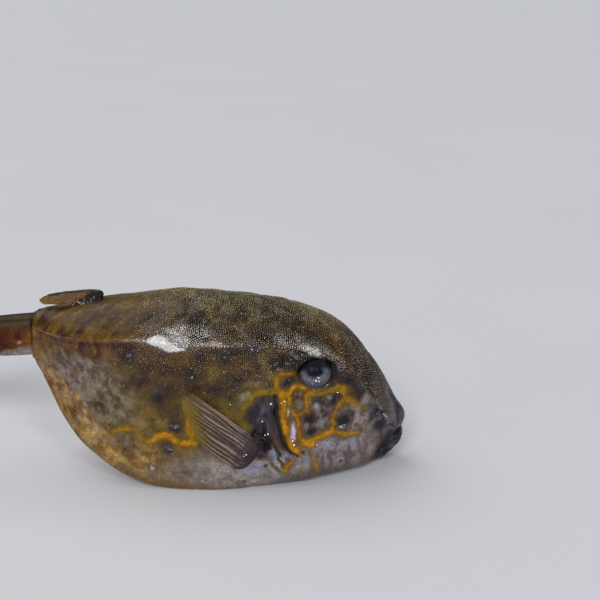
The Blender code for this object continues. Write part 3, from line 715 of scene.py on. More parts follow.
@dataclass
class Skin:
    """The colour and the relief of the skin, worked out by place."""

    marks: Marks
    flank_ground: Colour = srgb(84, 66, 44)
    back_ground: Colour = srgb(92, 78, 54)
    belly_ground: Colour = srgb(148, 138, 132)
    belly_rear: Colour = srgb(128, 108, 84)
    # Darker front of the belly: partly its own tone and partly painted shadow near the floor.
    belly_front_tone_and_shadow: Colour = srgb(92, 84, 83)
    orange: Colour = srgb(184, 124, 0)
    deep_orange: Colour = srgb(134, 80, 2)
    olive: Colour = srgb(126, 102, 8)
    black: Colour = srgb(26, 22, 30)
    pearl: Colour = srgb(140, 140, 158)
    slate: Colour = srgb(46, 41, 44)
    # The colour of the painted sheen.
    sheen_white: Colour = (0.92, 0.91, 0.9)
    flank_gain: float = 1.8
    back_gain: float = 1.3
    haze: float = 0.016
    cloud_share: float = 0.78
    cloud_least: float = 2.2
    # How strongly the skin between the granules takes the painted sheen.
    sheen_ground: float = 0.7
    left_sway: float = 2.2
    sway_size: float = 13.0
    waver: float = 0.35
    plate_rise: float = 0.42
    plate_reach: float = 8.5
    groove_depth: float = 0.3
    groove_reach: float = 1.5
    swells: tuple[Flat, ...] = ((0.22, 9.0), (0.1, 3.4))
    strand_depth: float = 0.28
    knob_rise: float = 0.9
    lip_rise: float = 0.7
    ridge_turn: float = 0.995
    ridge_rise: Flat = (0.55, 0.016)
    ridge_trough: Triple = (0.35, 0.018, 0.045)
    shoulder_rise: float = 1.25
    shoulder_x: Flat = (74.0, 9.5)
    socket_depth: Flat = (0.5, 1.0)
    eye_ring_rise: float = 0.8
    brow_rise: float = 2.6
    flap_depth: float = 0.9
    fold_rise: float = 1.0
    slit_depth: float = 1.6
    gill_lip: Triple = (2.6, 0.4, 0.6)
    pit_depth: float = 1.5
    low_slit_depth: float = 0.9
    wrinkle_rise: float = 0.35

    def __post_init__(self) -> None:
        """Seeds the noises."""
        self.warp, self.mottle, self.streak = SoftNoise(11), SoftNoise(23), SoftNoise(37)

    def warped(self, at: Places) -> tuple[Array, Array]:
        """Gives flank coordinates with a little waver, and more on the left so that it differs.

        Args:
            at: The points.

        Returns:
            The moved x and z of each point.
        """
        sway, size = np.where(at.y > 0, self.left_sway, 0.0), self.sway_size
        x = (at.x + sway * self.warp.at(at.x, at.z, 3.0, size)
             + self.waver * self.warp.at(at.x, at.z, at.turn, 2.2))
        z = (at.z + sway * self.warp.at(at.x, at.z, 9.0, size)
             + self.waver * self.warp.at(at.x, at.z, at.turn + 5, 2.2))
        return x, z

    def plate_edges(self, at: Places) -> tuple[Array, Array]:
        """Finds the hexagonal plates of the shell.

        Args:
            at: The points.

        Returns:
            Each point's distance from its plate's middle and from its plate's border.
        """
        pitch, wander = self.marks.plate_pitch, self.marks.plate_wander
        lattice = np.array([(pitch * (i + 0.5 * (j % 2)), pitch * HEX_ROW * j)
                            for i in range(-1, 13) for j in range(-3, 4)])
        lattice = lattice + np.random.default_rng(5).uniform(-wander, wander, lattice.shape)
        middle, border = np.zeros(at.x.shape), np.zeros(at.x.shape)
        x, z = self.warped(at)
        for share, up, centres in ((at.flank, z, np.array(self.marks.plates, dtype=float)),
                                   (1 - at.flank, at.y, lattice)):
            chosen = share > 0
            gaps = np.hypot(x[chosen, None] - centres[:, 0], up[chosen, None] - centres[:, 1])
            gaps.partition(1, axis=1)
            middle[chosen] += share[chosen] * gaps[:, 0]
            border[chosen] += share[chosen] * (gaps[:, 1] - gaps[:, 0]) / 2
        return middle, border

    def strand_field(self, at: Places) -> tuple[Array, Array, Array]:
        """Measures the yellow network.

        Args:
            at: The points.

        Returns:
            The signed distance to its edge, below 0 inside, its olive share and its faint share.
        """
        x, z = self.warped(at)
        edge = np.full(at.x.shape, FAR)
        olive, faint = np.zeros(at.x.shape), np.zeros(at.x.shape)
        ragged = 1 + 0.34 * self.mottle.at(x, z, 31.0, 6.0)
        for strand in self.marks.strands:
            gap = path_distance(x, z, curved(strand.path)) - strand.half_width * ragged
            closer = gap < edge
            edge = np.where(closer, gap, edge)
            olive = np.where(closer, strand.olive, olive)
            faint = np.where(closer, strand.faint, faint)
        away = FAR * (1 - at.flank) + 4.0 * self.gill_shade(x, z)
        return np.minimum(edge + away, FAR), olive, faint

    def gill_shade(self, x: Array, z: Array) -> Array:
        """Gives the band just behind the gill slit, which no strand crosses.

        Args:
            x: First flank coordinates of the points.
            z: Second flank coordinates.

        Returns:
            A share for each point.
        """
        slit = np.array(self.marks.slit)[::-1]
        ahead = x - np.interp(z, slit[:, 1], slit[:, 0])
        return between(ahead, -8.0, -6.5, -0.5, 0.7) * between(z, 15.0, 17.0, 50.2, 51.4)

    def slate_field(self, at: Places) -> Array:
        """Gives the share of slate grey in the wide clouds round the bigger spots.

        Args:
            at: The points.

        Returns:
            A share for each point.
        """
        x, z = self.warped(at)
        share = np.zeros(at.x.shape)
        for spot in self.marks.spots:
            if spot.radius >= self.cloud_least:
                gap = spot.gap(x, z, 1 + 0.35 * self.mottle.at(x, z, spot.z, 3.6))
                cloud = min(1.0, 0.25 + spot.dark) * ease(gap, 2.8 * spot.radius, 0.5 * spot.radius)
                share = np.maximum(share, self.cloud_share * cloud)
        return share * at.flank

    def dark_field(self, at: Places) -> tuple[Array, Array]:
        """Gives what the spots lay on the skin, and painted shade in the slits, the fin pit and round the
        eye.

        Args:
            at: The points.

        Returns:
            The share of black and the share of pearl at each point.
        """
        x, z = self.warped(at)
        marks, dark, pale = self.marks, np.zeros(at.x.shape), np.zeros(at.x.shape)
        for spot in marks.spots:
            rough = 1 + 0.45 * self.mottle.at(x, z, spot.x, 2.2)
            gap = spot.gap(x, z, rough)
            dark = np.maximum(dark, spot.dark * ease(gap, 1.25 * spot.radius, 0.4 * spot.radius))
            middle = ease(gap / rough, 0.55 * spot.radius, 0.05 * spot.radius)
            pale = np.maximum(pale, spot.pale * middle)
        # Painted shade: dark lines in the gill slit, the pit over the breast fin and the small slits below.
        lines = ((marks.slit, 0.65), (marks.fin_pit, 1.2), *((slit, 0.5) for slit in marks.lower_slits))
        for path, width in lines:
            dark = np.maximum(dark, ease(path_distance(x, z, path), width + 0.6, width * 0.5))
        # A thin dark ring round the eye, darkened above it as painted shade under the brow.
        across, up, eye_gap = marks.eye_gap(at.x, at.z)
        above = ease((up + 0.35 * across) / np.maximum(eye_gap, 1e-6), -0.1, 0.5)
        ring = ease(eye_gap, 8.2 + 2.1 * above, 7.6 + 1.6 * above)
        dark = np.maximum(dark, (0.18 + 0.77 * above) * ring)
        return dark * at.flank, pale * at.flank

    def ground(self, at: Places) -> Array:
        """Gives the skin's colour without the network and the spots.

        Args:
            at: The points.

        Returns:
            A linear colour for each point.
        """
        x, z = self.warped(at)
        beside, flank, marks = np.abs(at.y), at.flank, self.marks
        colour = self.tinted(self.flank_ground, x, z, marks.tints)
        colour = self.mingled(colour, x, z, 2.0 * np.sign(at.y), marks.blotches)
        back = self.tinted(self.back_ground, x, beside, marks.back_tints)
        back = self.mingled(back, x, beside, 4.0 * np.sign(at.y), marks.back_blotches)
        belly = self.tinted(self.belly_ground, x, beside, ())
        belly = blend(belly, self.belly_rear, ease(at.x, 40, 10) * 0.8)
        # Towards the head the belly is darkened, partly its own tone and partly painted shadow near the
        # floor.
        belly = blend(belly, self.belly_front_tone_and_shadow, ease(at.x, 105, 140) * 0.8)
        colour = blend(blend(colour, back, at.back), belly, at.belly)
        colour = blend(colour, self.slate, self.slate_field(at))
        # Painted shade in a thin dark line just under the ridge, and a painted highlight that brightens its
        # crest towards the tail.
        crease = 0.75 * ease(np.abs(at.around - 1.035), 0.022, 0.006)
        crease = crease * np.maximum(ease(at.x, 84, 50), 0.6 * between(at.x, 88, 100, 124, 134))
        edge = ease(np.abs(at.around - 0.99), 0.022, 0.006) * ease(at.x, 96, 60)
        body = 1 + 0.14 * self.mottle.over(at, 6.5) + 0.1 * self.mottle.over(at, 2.4)
        colour = colour * (body * (1 - 0.55 * crease) * (1 + 0.35 * edge))[:, None]
        for tint in marks.pearls:
            colour = blend(colour, srgb(*tint.shade), oval(tint, x, z) * flank)
        return colour

    def tinted(self, ground: Colour, across: Array, up: Array, tints: tuple[Tint, ...]) -> Array:
        """Lays tints over an even ground.

        Args:
            ground: Its colour.
            across: First flat coordinates of the points.
            up: Second flat coordinates.
            tints: What to lay.

        Returns:
            A colour for each point.
        """
        colour = np.tile(np.array(ground), (len(across), 1))
        for tint in tints:
            colour = blend(colour, srgb(*tint.shade), oval(tint, across, up))
        return colour

    def mingled(self, colour: Array, across: Array, up: Array, seed: Array,
                blotches: tuple[Blotch, ...]) -> Array:
        """Lays blotches of two mingled colours over a colour.

        Args:
            colour: The colours so far.
            across: First flat coordinates of the points.
            up: Second flat coordinates.
            seed: Third coordinates, which choose the pattern.
            blotches: What to lay.

        Returns:
            The new colours.
        """
        for index, blotch in enumerate(blotches):
            along, beside = rotated(across, up, blotch.along)
            along, own_seed = along / blotch.stretch, seed + 3.7 * index
            level = self.streak.at(along, beside, own_seed, blotch.size)
            level = level + 0.6 * self.streak.at(along, beside, own_seed + 9, 0.45 * blotch.size)
            both = blend(np.array(srgb(*blotch.dark)), srgb(*blotch.pale), ease(level, -0.62, 0.62))
            colour = blend(colour, both, oval(blotch, across, up))
        return colour

    def bright(self, colour: Array, at: Places) -> Array:
        """Turns a colour as seen into the skin's own, by the light that each face gets."""
        gain = self.flank_gain + at.back * (self.back_gain - self.flank_gain)
        return np.clip(colour - self.haze, 0.002, 1) * gain[:, None]

    def colour(self, at: Places) -> Array:
        """Gives the finished colour of the skin, as the granules take it.

        Args:
            at: The points.

        Returns:
            A linear colour for each point.
        """
        dark, pale = self.dark_field(at)
        edge, olive, faint = self.strand_field(at)
        # Spots in their own colours, with painted shade in the slits, the fin pit and round the eye.
        colour = blend(blend(self.ground(at), self.black, dark), self.pearl, pale)
        bright = np.array(self.orange) + olive[:, None] * (np.array(self.olive) - np.array(self.orange))
        return blend(colour, 0.6 * bright, 0.5 * ease(edge, 3.0, 0.0) * (1 - faint))

    def height(self, at: Places) -> Array:
        """Gives how far the skin stands out from the smooth form.

        Args:
            at: The points.

        Returns:
            A height for each point, in millimetres.
        """
        x, z, turn, flank = at.x, at.z, at.around, at.flank
        middle, border = self.plate_edges(at)
        plate = self.plate_rise * ease(middle, self.plate_reach, 0.0)
        groove = self.groove_depth * ease(border, self.groove_reach, 0.0)
        rise = (1 - 0.75 * self.smoothness(at)) * (plate - groove)
        rise += sum(high * self.mottle.over(at, size) for high, size in self.swells)
        edge, _, faint = self.strand_field(at)
        rise -= self.strand_depth * ease(edge, 0.9, -0.6) * (1 - faint) * flank
        for knob in self.marks.pearls[:self.marks.knobs]:
            rise += self.knob_rise * oval(knob, x, z) * flank
        rise += flank * (self.eye_relief(x, z) + self.gill_relief(x, z))
        rise += self.lip_rise * ease(x, 3.4, 0.6) * (x > -0.7)
        off = turn - self.ridge_turn
        crest = self.ridge_rise[0] * bell(off, self.ridge_rise[1])
        trough = self.ridge_trough[0] * bell(off - self.ridge_trough[2], self.ridge_trough[1])
        sharp = (0.45 + 0.55 * ease(x, 110, 55)) * ease(x, 2, 8) * ease(x, 142, 120)
        rise += sharp * (crest - trough)
        shoulder = bell(x - self.shoulder_x[0], self.shoulder_x[1])
        shoulder = shoulder * ease(turn, 0.8, 0.985) * ease(turn, 1.062, 1.0)
        return rise + self.shoulder_rise * shoulder

    def eye_relief(self, x: Array, z: Array) -> Array:
        """Gives the socket, the soft ring round the eye and the brow over it.

        Args:
            x: First flank coordinates of the points.
            z: Second flank coordinates.

        Returns:
            A height for each point, in millimetres.
        """
        across, up, gap = self.marks.eye_gap(x, z)
        above = ease((up - 0.15 * across) / np.maximum(gap, 1e-6), 0.0, 0.55)
        socket = -(self.socket_depth[0] + self.socket_depth[1] * above) * ease(gap, 8.2, 7.0)
        ring = self.eye_ring_rise * ease(gap, 7.4, 8.3) * ease(gap, 10.6, 8.8) * (1 - above)
        brow = self.brow_rise * above * ease(gap, 8.2, 9.4) * ease(gap, 19.0, 10.6)
        return socket + ring + brow

    def gill_relief(self, x: Array, z: Array) -> Array:
        """Gives the gill slit with its soft flap and folds, and the pit over the breast fin.

        Args:
            x: First flank coordinates of the points.
            z: Second flank coordinates.

        Returns:
            A height for each point, in millimetres.
        """
        marks = self.marks
        flap = marks.gill_flap.share(x, z)
        rise = (-self.flap_depth * flap
                + self.fold_rise * ease(path_distance(x, z, marks.fold), 1.7, 0.2)
                - self.slit_depth * ease(path_distance(x, z, marks.slit), 1.4, 0.2))
        ahead, over, high = self.gill_lip
        rise += high * ease(path_distance(x - ahead, z - over, marks.slit), 2.0, 0.4)
        rise -= self.pit_depth * ease(path_distance(x, z, marks.fin_pit), 3.0, 0.6)
        for path in marks.lower_slits:
            rise -= self.low_slit_depth * ease(path_distance(x, z, path), 1.1, 0.2)
        return rise + self.wrinkle_rise * flap * self.streak.at(x, z * 0.35, 4.0, 1.7)

    def relish(self, at: Places) -> Array:
        """Gives how strongly the granules stand out from the ground in colour.

        Args:
            at: The points.

        Returns:
            A share for each point.
        """
        high = at.z + 4 * self.mottle.at(at.x, at.z, at.y, 11.0)
        flank = 0.14 + 0.42 * ease(high, 34, 56) + 0.44 * ease(high, 56, 70)
        flank = flank * (1 - 0.75 * self.marks.even_cheek.share(at.x, at.z))
        return at.back + (1 - at.back) * flank * (1 - at.belly)

    def painted_tip_sheen(self, at: Places) -> Array:
        """Gives how pale the granule tips are painted as sheen, along the ridge and over the eye.

        Args:
            at: The points.

        Returns:
            A share for each point.
        """
        turn = at.around
        ridge = 0.4 * between(turn, 0.66, 0.9, 0.98, 1.1) * ease(at.x, 52, 66)
        ridge = ridge * (0.45 + 0.55 * ease(at.x, 112, 92)) * (at.x < 140)
        brow = 0.72 * ease(path_distance(at.x, at.z, self.marks.brow), 4.2, 1.6) * (turn < 1.4)
        return np.maximum.reduce([ridge, brow, self.painted_sparkle(at)])

    def painted_sparkle(self, at: Places) -> Array:
        """Gives where painted sparkle of lit granule tips lies: over the shoulder and behind the brow.

        Args:
            at: The points.

        Returns:
            A share for each point.
        """
        turn, marks = at.around, self.marks
        over = turn - 0.885 + 0.0016 * (at.x - marks.sparkle_shoulder.x)
        shoulder = marks.sparkle_shoulder.share(at.x, over) * ease(turn, 1.03, 0.99)
        return np.maximum(shoulder, 0.16 * marks.sparkle_behind.share(at.x, turn))

    def painted_sheen(self, at: Places) -> Array:
        """Gives where painted sheen lies: a highlight on the shoulder, a line along the ridge, a band on the
        brow.

        Args:
            at: The points.

        Returns:
            A share for each point.
        """
        turn, marks = at.around, self.marks
        rough = 0.16 * self.mottle.over(at, 2.6) + 0.12 * self.mottle.over(at, 1.1)
        down = (turn - 1.0) * np.where(turn < 1.0, 36.0, 80.0)
        along, middle, half = zip(*marks.sheen_patch)
        over = np.abs(down - np.interp(at.x, along, middle)) / np.interp(at.x, along, half)
        shoulder = ease(over + 1.3 * rough, 1.38, 0.5) * between(at.x, 60, 67, 81, 86)
        thin = ease(np.abs(down + 0.5) / np.where(at.x < 76, 0.8, 1.05) + rough, 1.15, 0.3)
        line = thin * (0.4 * ease(at.x, 42, 54) * ease(at.x, 76, 66)
                       + 0.42 * ease(at.x, 78, 86) * ease(at.x, 128, 100))
        over = down + 1.4 - 0.22 * (at.x - marks.sheen_brow.x)
        return np.maximum.reduce([0.92 * shoulder, 0.46 * marks.sheen_beside.share(at.x, down, rough), line,
                                  0.56 * marks.sheen_brow.share(at.x, over, 1.2 * rough)])

    def wetness(self, at: Places) -> Array:
        """Gives how much of the clear wet coat lies on the skin.

        Args:
            at: The points.

        Returns:
            A share for each point.
        """
        marks = self.marks
        shoulder = marks.wet_shoulder.share(at.x, at.around)
        gill = marks.wet_gill.share(at.x, at.z) * at.flank
        pit = ease(path_distance(at.x, at.z, marks.fin_pit), 5.0, 3.0) * at.flank
        wet = (0.34 + np.maximum(0.6 * shoulder, 0.14 * gill)) * (1 - 0.9 * pit)
        wet *= 1 - 0.6 * at.back * ease(at.x, 72, 50)
        wet *= 1 - 0.6 * marks.dull_temple.share(at.x, at.z)
        wet = np.where(at.on_shell, wet, 0.25 * wet)
        return wet * (1 - 0.75 * ease(self.strand_field(at)[0], 0.6, -0.4))

    def marbling(self, at: Places) -> Array:
        """Gives how strongly fine clouds of grey, yellow and brown mingle in the skin.

        Args:
            at: The points.

        Returns:
            A share for each point.
        """
        flank = at.flank
        rear = ease(at.x, 66, 40) * flank
        low = 0.75 * ease(at.z, 34, 22) * ease(at.x, 128, 100) * flank
        middle = 0.2 * flank * ease(at.x, 132, 118)
        back = 0.2 * at.back * ease(at.x, 66, 46)
        high = 1 - 0.7 * ease(at.z, 60, 66) * flank
        return np.maximum.reduce([rear, low, middle, back]) * high * at.on_shell

    def smoothness(self, at: Places) -> Array:
        """Gives where the skin is soft or worn, 1, and where it is full of granules, 0.

        Args:
            at: The points.

        Returns:
            A share for each point.
        """
        x, z, marks = at.x, at.z, self.marks
        patchy = self.mottle.at(x, z, at.y, 9.0)
        worn = ease(x + 0.25 * (z - 60) + 5 * patchy, 62, 42) * 0.8
        worn = np.where(at.around < 1, ease(x + 4 * patchy, 66, 50) * 0.85, worn)
        worn = np.maximum(worn, at.belly * 0.45)
        soft = np.maximum.reduce([
            ease(np.hypot((x - marks.eye[0]) / 1.1, z - marks.eye[1]), 11.5, 9.5),
            marks.soft_gill.share(x, z), marks.soft_fin_root.share(x, z),
            ease(path_distance(x, z, marks.slit), 4.2, 2.4),
            ease(path_distance(x, z, marks.lower_slits[0]), 4.5, 2.5)])
        snout = ease(x - 0.15 * z, 172, 184) * (1 - 0.5 * ease(z, 24, 32))
        cheek = 0.55 * marks.soft_cheek.share(x, z)
        edge, _, faint = self.strand_field(at)
        network = ease(edge, 2.0, 0.4) * (1 - 0.5 * faint)
        soft = np.maximum.reduce([soft * at.flank, snout, cheek * at.flank, network])
        return np.clip(np.maximum(worn, soft), 0, 1)


class Graph:
    """A material under construction: a Principled surface and the nodes that feed it."""

    def __init__(self, name: str) -> None:
        """Starts a material.

        Args:
            name: Its name.
        """
        self.material = bpy.data.materials.new(name)
        self.material.use_nodes = True
        self.tree = self.material.node_tree
        self.surface = self.tree.nodes["Principled BSDF"]
        self.space = self.tree.nodes.new("ShaderNodeTexCoord").outputs["Object"]

    def feed(self, socket: Socket, value: Socket | float | tuple) -> None:
        """Joins a socket to another one, or gives it a value of its own.

        Args:
            socket: The socket that is fed.
            value: A socket, a number, a vector or a linear colour.
        """
        if isinstance(value, bpy.types.NodeSocket):
            self.tree.links.new(value, socket)
        elif isinstance(value, tuple) and len(value) < len(socket.default_value):
            socket.default_value = (*value, 1.0)
        else:
            socket.default_value = value

    def node(self, kind: str, inputs: dict, **settings: str) -> bpy.types.Node:
        """Makes a shader node.

        Args:
            kind: Its kind.
            inputs: What its sockets get, by name or by number.
            settings: Its own settings.

        Returns:
            The node.
        """
        node = self.tree.nodes.new("ShaderNode" + kind)
        for name, value in settings.items():
            setattr(node, name, value)
        for key, value in inputs.items():
            self.feed(node.inputs[key], value)
        return node

    def set(self, **values: Socket | float | tuple) -> None:
        """Feeds sockets of the surface; an underscore in a name stands for a space."""
        for name, value in values.items():
            self.feed(self.surface.inputs[name.replace("_", " ")], value)

    def attribute(self, name: str, output: str = "Fac") -> Socket:
        """Reads a mesh attribute."""
        return self.node("Attribute", {}, attribute_name=name).outputs[output]

    def noise(self, size: float, detail: float = 3.0, stretch: Point = (1, 1, 1)) -> Socket:
        """Gives noise from 0 to 1 with patches of a size in metres."""
        moved = self.node("Mapping", {"Vector": self.space, "Scale": stretch}).outputs["Vector"]
        return self.node("TexNoise", {"Vector": moved, "Scale": 1 / size, "Detail": detail}).outputs["Fac"]

    def cells(self, size: float, feature: str = "F1") -> Socket:
        """Gives the distance field of Voronoi cells of a size in metres."""
        made = self.node("TexVoronoi", {"Vector": self.space, "Scale": 1 / size}, feature=feature)
        return made.outputs["Distance"]

    def math(self, kind: str, first: Socket | float, second: Socket | float) -> Socket:
        """Joins two values by a Math node."""
        return self.node("Math", {0: first, 1: second}, operation=kind).outputs["Value"]

    def times(self, first: Socket | float, second: Socket | float) -> Socket:
        """Multiplies two values."""
        return self.math("MULTIPLY", first, second)

    def plus(self, first: Socket | float, second: Socket | float) -> Socket:
        """Adds two values."""
        return self.math("ADD", first, second)

    def remap(self, source: Socket, low: float, high: float,
              to_low: float = 0.0, to_high: float = 1.0) -> Socket:
        """Maps a range smoothly onto another."""
        values = {"Value": source, "From Min": low, "From Max": high, "To Min": to_low, "To Max": to_high}
        return self.node("MapRange", values, interpolation_type="SMOOTHSTEP").outputs["Result"]

    def mix(self, share: Socket | float, first: Socket | Colour, second: Socket | Colour,
            blend_type: str = "MIX") -> Socket:
        """Mixes two colours by a share."""
        values = {0: share, 6: first, 7: second}
        return self.node("Mix", values, data_type="RGBA", blend_type=blend_type).outputs[2]

    def gain(self, colour: Socket | Colour, source: Socket, low: float, high: float) -> Socket:
        """Multiplies a colour by noise, from low to high."""
        grey = self.node("CombineColor", dict.fromkeys(range(3), self.remap(source, 0.25, 0.75, low, high)))
        return self.mix(1.0, colour, grey.outputs["Color"], "MULTIPLY")

    def bump(self, height: Socket, depth: float) -> None:
        """Adds fine relief, of a depth in metres."""
        node = self.node("Bump", {"Height": height, "Strength": 1.0, "Distance": depth})
        self.set(Normal=node.outputs["Normal"])


@dataclass(frozen=True)
class WetSkin:
    """The finish of the skin: wet, mottled, with an irregular edge to the yellow network."""

    roughness: Flat = (0.3, 0.5)
    specular: float = 0.14
    coat_roughness: float = 0.09
    relief: float = 0.00028
    grain_size: float = 0.00105
    veins: tuple[tuple[float, float, float, float, Colour], ...] = (
        (0.0052, 0.5, 0.64, 0.38, (0.19, 0.155, 0.145)),
        (0.0043, 0.52, 0.66, 0.4, (0.25, 0.15, 0.028)),
        (0.0031, 0.53, 0.68, 0.5, (0.085, 0.046, 0.018)),
        (0.0021, 0.6, 0.72, 0.34, (0.5, 0.43, 0.31)),
    )

    def build(self, skin: Skin) -> Material:
        """Makes the material.

        Args:
            skin: The skin, for the colours of its network.

        Returns:
            The material.
        """
        graph = Graph("wet_skin")
        colour = graph.gain(graph.attribute("ground", "Color"), graph.noise(0.004, 5.0), 0.8, 1.22)
        fine = graph.noise(0.0012, 4.0)
        colour = graph.gain(colour, fine, 0.66, 1.36)
        marble = graph.attribute("marble")
        for size, low, high, share, stain in self.veins:
            patch = graph.remap(graph.noise(size, 4.0, (1.0, 1.0, 0.7)), low, high, 0.0, share)
            colour = graph.mix(graph.times(patch, marble), colour, stain)
        colour = self.network(graph, skin, colour)
        grains = graph.remap(graph.cells(self.grain_size), 0.0, 0.6, 1.0, 0.0)
        grains = graph.times(graph.attribute("grain"), grains)
        graph.bump(graph.plus(graph.times(fine, 0.45), graph.times(grains, 0.5)), self.relief)
        graph.set(Base_Color=colour, Coat_Weight=graph.attribute("wet"), Coat_Roughness=self.coat_roughness,
                  Roughness=graph.remap(graph.noise(0.0035, 2.0), 0.3, 0.7, *self.roughness),
                  Specular_IOR_Level=self.specular)
        return graph.material

    def network(self, graph: Graph, skin: Skin, colour: Socket) -> Socket:
        """Lays the yellow network and its olive halo over a colour.

        Args:
            graph: The material under construction.
            skin: The skin, for the colours of its network.
            colour: The colour so far.

        Returns:
            The new colour.
        """
        wavers = (graph.remap(graph.noise(0.0046, 5.0), 0.25, 0.75, -0.7, 0.7),
                  graph.remap(graph.noise(0.0018, 3.0), 0.25, 0.75, -0.26, 0.26))
        edge = graph.plus(graph.attribute("edge"), graph.plus(*wavers))
        bright = graph.attribute("bright")
        halo = graph.times(graph.remap(edge, 3.4, 0.2, 0.0, 0.8), bright)
        halo = graph.times(halo, graph.remap(graph.noise(0.0026, 4.0), 0.36, 0.62, 0.25, 1.0))
        colour = graph.mix(halo, colour, tuple(0.5 * part for part in skin.olive))
        orange = graph.mix(graph.remap(edge, 0.3, -1.3), skin.deep_orange, skin.orange)
        patches = graph.remap(graph.noise(0.0038, 4.0), 0.48, 0.68, 0.0, 0.75)
        threads = graph.mix(graph.math("MAXIMUM", graph.attribute("olive"), patches), orange, skin.olive)
        threads = graph.gain(threads, graph.noise(0.003, 4.0), 0.62, 1.36)
        threads = graph.gain(threads, graph.noise(0.0012, 3.0), 0.86, 1.14)
        return graph.mix(graph.times(graph.remap(edge, 1.3, -1.0, 0.0, 0.95), bright), colour, threads)


@dataclass(frozen=True)
class WetGranule:
    """The finish of the granules: the skin's colour, each dome a little lighter or darker."""

    specular: float = 0.2
    coat: float = 0.85
    coat_roughness: float = 0.1

    def build(self) -> Material:
        """Makes the material.

        Returns:
            The material.
        """
        graph = Graph("wet_granule")
        colour = graph.gain(graph.attribute("ground", "Color"), graph.noise(0.005, 5.0), 0.72, 1.28)
        graph.set(Base_Color=colour, Roughness=graph.remap(graph.noise(0.002, 2.0), 0.3, 0.7, 0.26, 0.44),
                  Coat_Weight=self.coat, Coat_Roughness=self.coat_roughness, Specular_IOR_Level=self.specular)
        return graph.material


@dataclass(frozen=True)
class WetDrop:
    """The finish of the drops of water: each drop's own colour under a strong clear coat."""

    roughness: float = 0.2
    specular: float = 0.2
    coat_roughness: float = 0.06
    coat_bend: float = 1.7

    def build(self) -> Material:
        """Makes the material.

        Returns:
            The material.
        """
        graph = Graph("water_drops")
        graph.set(Base_Color=graph.attribute("ground", "Color"), Roughness=self.roughness, Coat_Weight=1.0,
                  Coat_Roughness=self.coat_roughness, Coat_IOR=self.coat_bend,
                  Specular_IOR_Level=self.specular)
        return graph.material


@dataclass(frozen=True)
class FinMembrane:
    """The finish of a fin: rays over a thin web, darker and fleshy at the root."""

    name: str
    ray: Colour
    web: Colour
    tip: Colour
    flesh: Colour
    ringed: bool = False
    ring: Colour = srgb(150, 146, 124)
    stain: Colour = srgb(124, 100, 14)
    fade: float = 0.0
    root_blend: float = 0.42
    lead: float = 0.0
    lead_colour: Colour = srgb(34, 25, 16)

    def build(self) -> Material:
        """Makes the material.

        Returns:
            The material.
        """
        graph = Graph(self.name)
        out, ray, flesh = graph.attribute("out"), graph.attribute("ray"), graph.attribute("flesh")
        ground = graph.mix(graph.remap(out, 0.25, 0.95), self.web, self.tip)
        ground = graph.gain(ground, graph.noise(0.0032, 4.0), 0.74, 1.28)
        strength = graph.times(graph.remap(ray, 0.15, 0.95, 0.0, 0.95),
                               graph.remap(out, 0.55, 1.0, 1.0, 1.0 - self.fade))
        colour = graph.mix(strength, ground, self.ray)
        colour = graph.mix(graph.attribute("stain"), colour, self.stain)
        colour = graph.mix(graph.times(graph.attribute("lead"), self.lead), colour, self.lead_colour)
        colour = graph.gain(colour, graph.noise(0.0009, 3.0), 0.76, 1.26)
        root = graph.plus(flesh, graph.remap(graph.noise(0.0024, 3.0), 0.2, 0.8, -0.22, 0.22))
        fleshy = self.flesh
        if self.ringed:
            rings = graph.remap(graph.cells(0.0034, "DISTANCE_TO_EDGE"), 0.025, 0.075, 0.8, 0.0)
            low = graph.remap(graph.attribute("low"), 0.35, 0.75)
            fleshy = graph.mix(graph.times(rings, low), self.flesh, self.ring)
        fleshy = graph.gain(fleshy, graph.noise(0.004, 4.0), 0.8, 1.3)
        graph.bump(graph.noise(0.0006, 3.0, (1, 1, 1)), 0.00015)
        graph.set(Base_Color=graph.mix(graph.remap(root, 0.1, self.root_blend), colour, fleshy),
                  Roughness=0.4, Coat_Weight=0.22, Coat_Roughness=0.12, Specular_IOR_Level=0.22)
        return graph.material


@dataclass(frozen=True)
class EyeSurface:
    """The finish of the eye: navy pupil, clouded iris, dark rim, painted shade over its top, under a clear
    wet coat.
    """

    pupil: Colour = srgb(18, 25, 36)
    inner: Colour = srgb(62, 64, 78)
    iris: Colour = srgb(100, 95, 110)
    outer: Colour = srgb(74, 70, 84)
    rim: Colour = srgb(50, 46, 58)
    # The colour of the painted shade over the top of the eye, under the brow.
    top: Colour = srgb(20, 20, 26)

    def build(self) -> Material:
        """Makes the material.

        Returns:
            The material.
        """
        graph = Graph("eye_surface")
        waver = graph.remap(graph.noise(0.0016, 4.0), 0.2, 0.8, -0.55, 0.55)
        gap = graph.plus(graph.attribute("pupil_gap"), waver)
        rim_gap, shade = graph.attribute("rim_gap"), graph.attribute("shade")
        colour = self.pupil
        for source, low, high, share, ring in (
                (gap, 2.8, 3.6, 1.0, self.inner), (gap, 3.3, 4.8, 1.0, self.iris),
                (gap, 5.6, 7.2, 1.0, self.outer), (rim_gap, 0.86, 0.99, 1.0, self.rim),
                (shade, 0.0, 1.0, 0.9, self.top)):
            colour = graph.mix(graph.remap(source, low, high, 0.0, share), colour, ring)
        colour = graph.gain(colour, graph.noise(0.001, 5.0), 0.74, 1.3)
        colour = graph.gain(colour, graph.noise(0.0035, 3.0), 0.84, 1.2)
        graph.set(Base_Color=colour, Coat_Weight=graph.attribute("gloss"), Roughness=0.35,
                  Coat_Roughness=0.04, Specular_IOR_Level=0.1)
        return graph.material


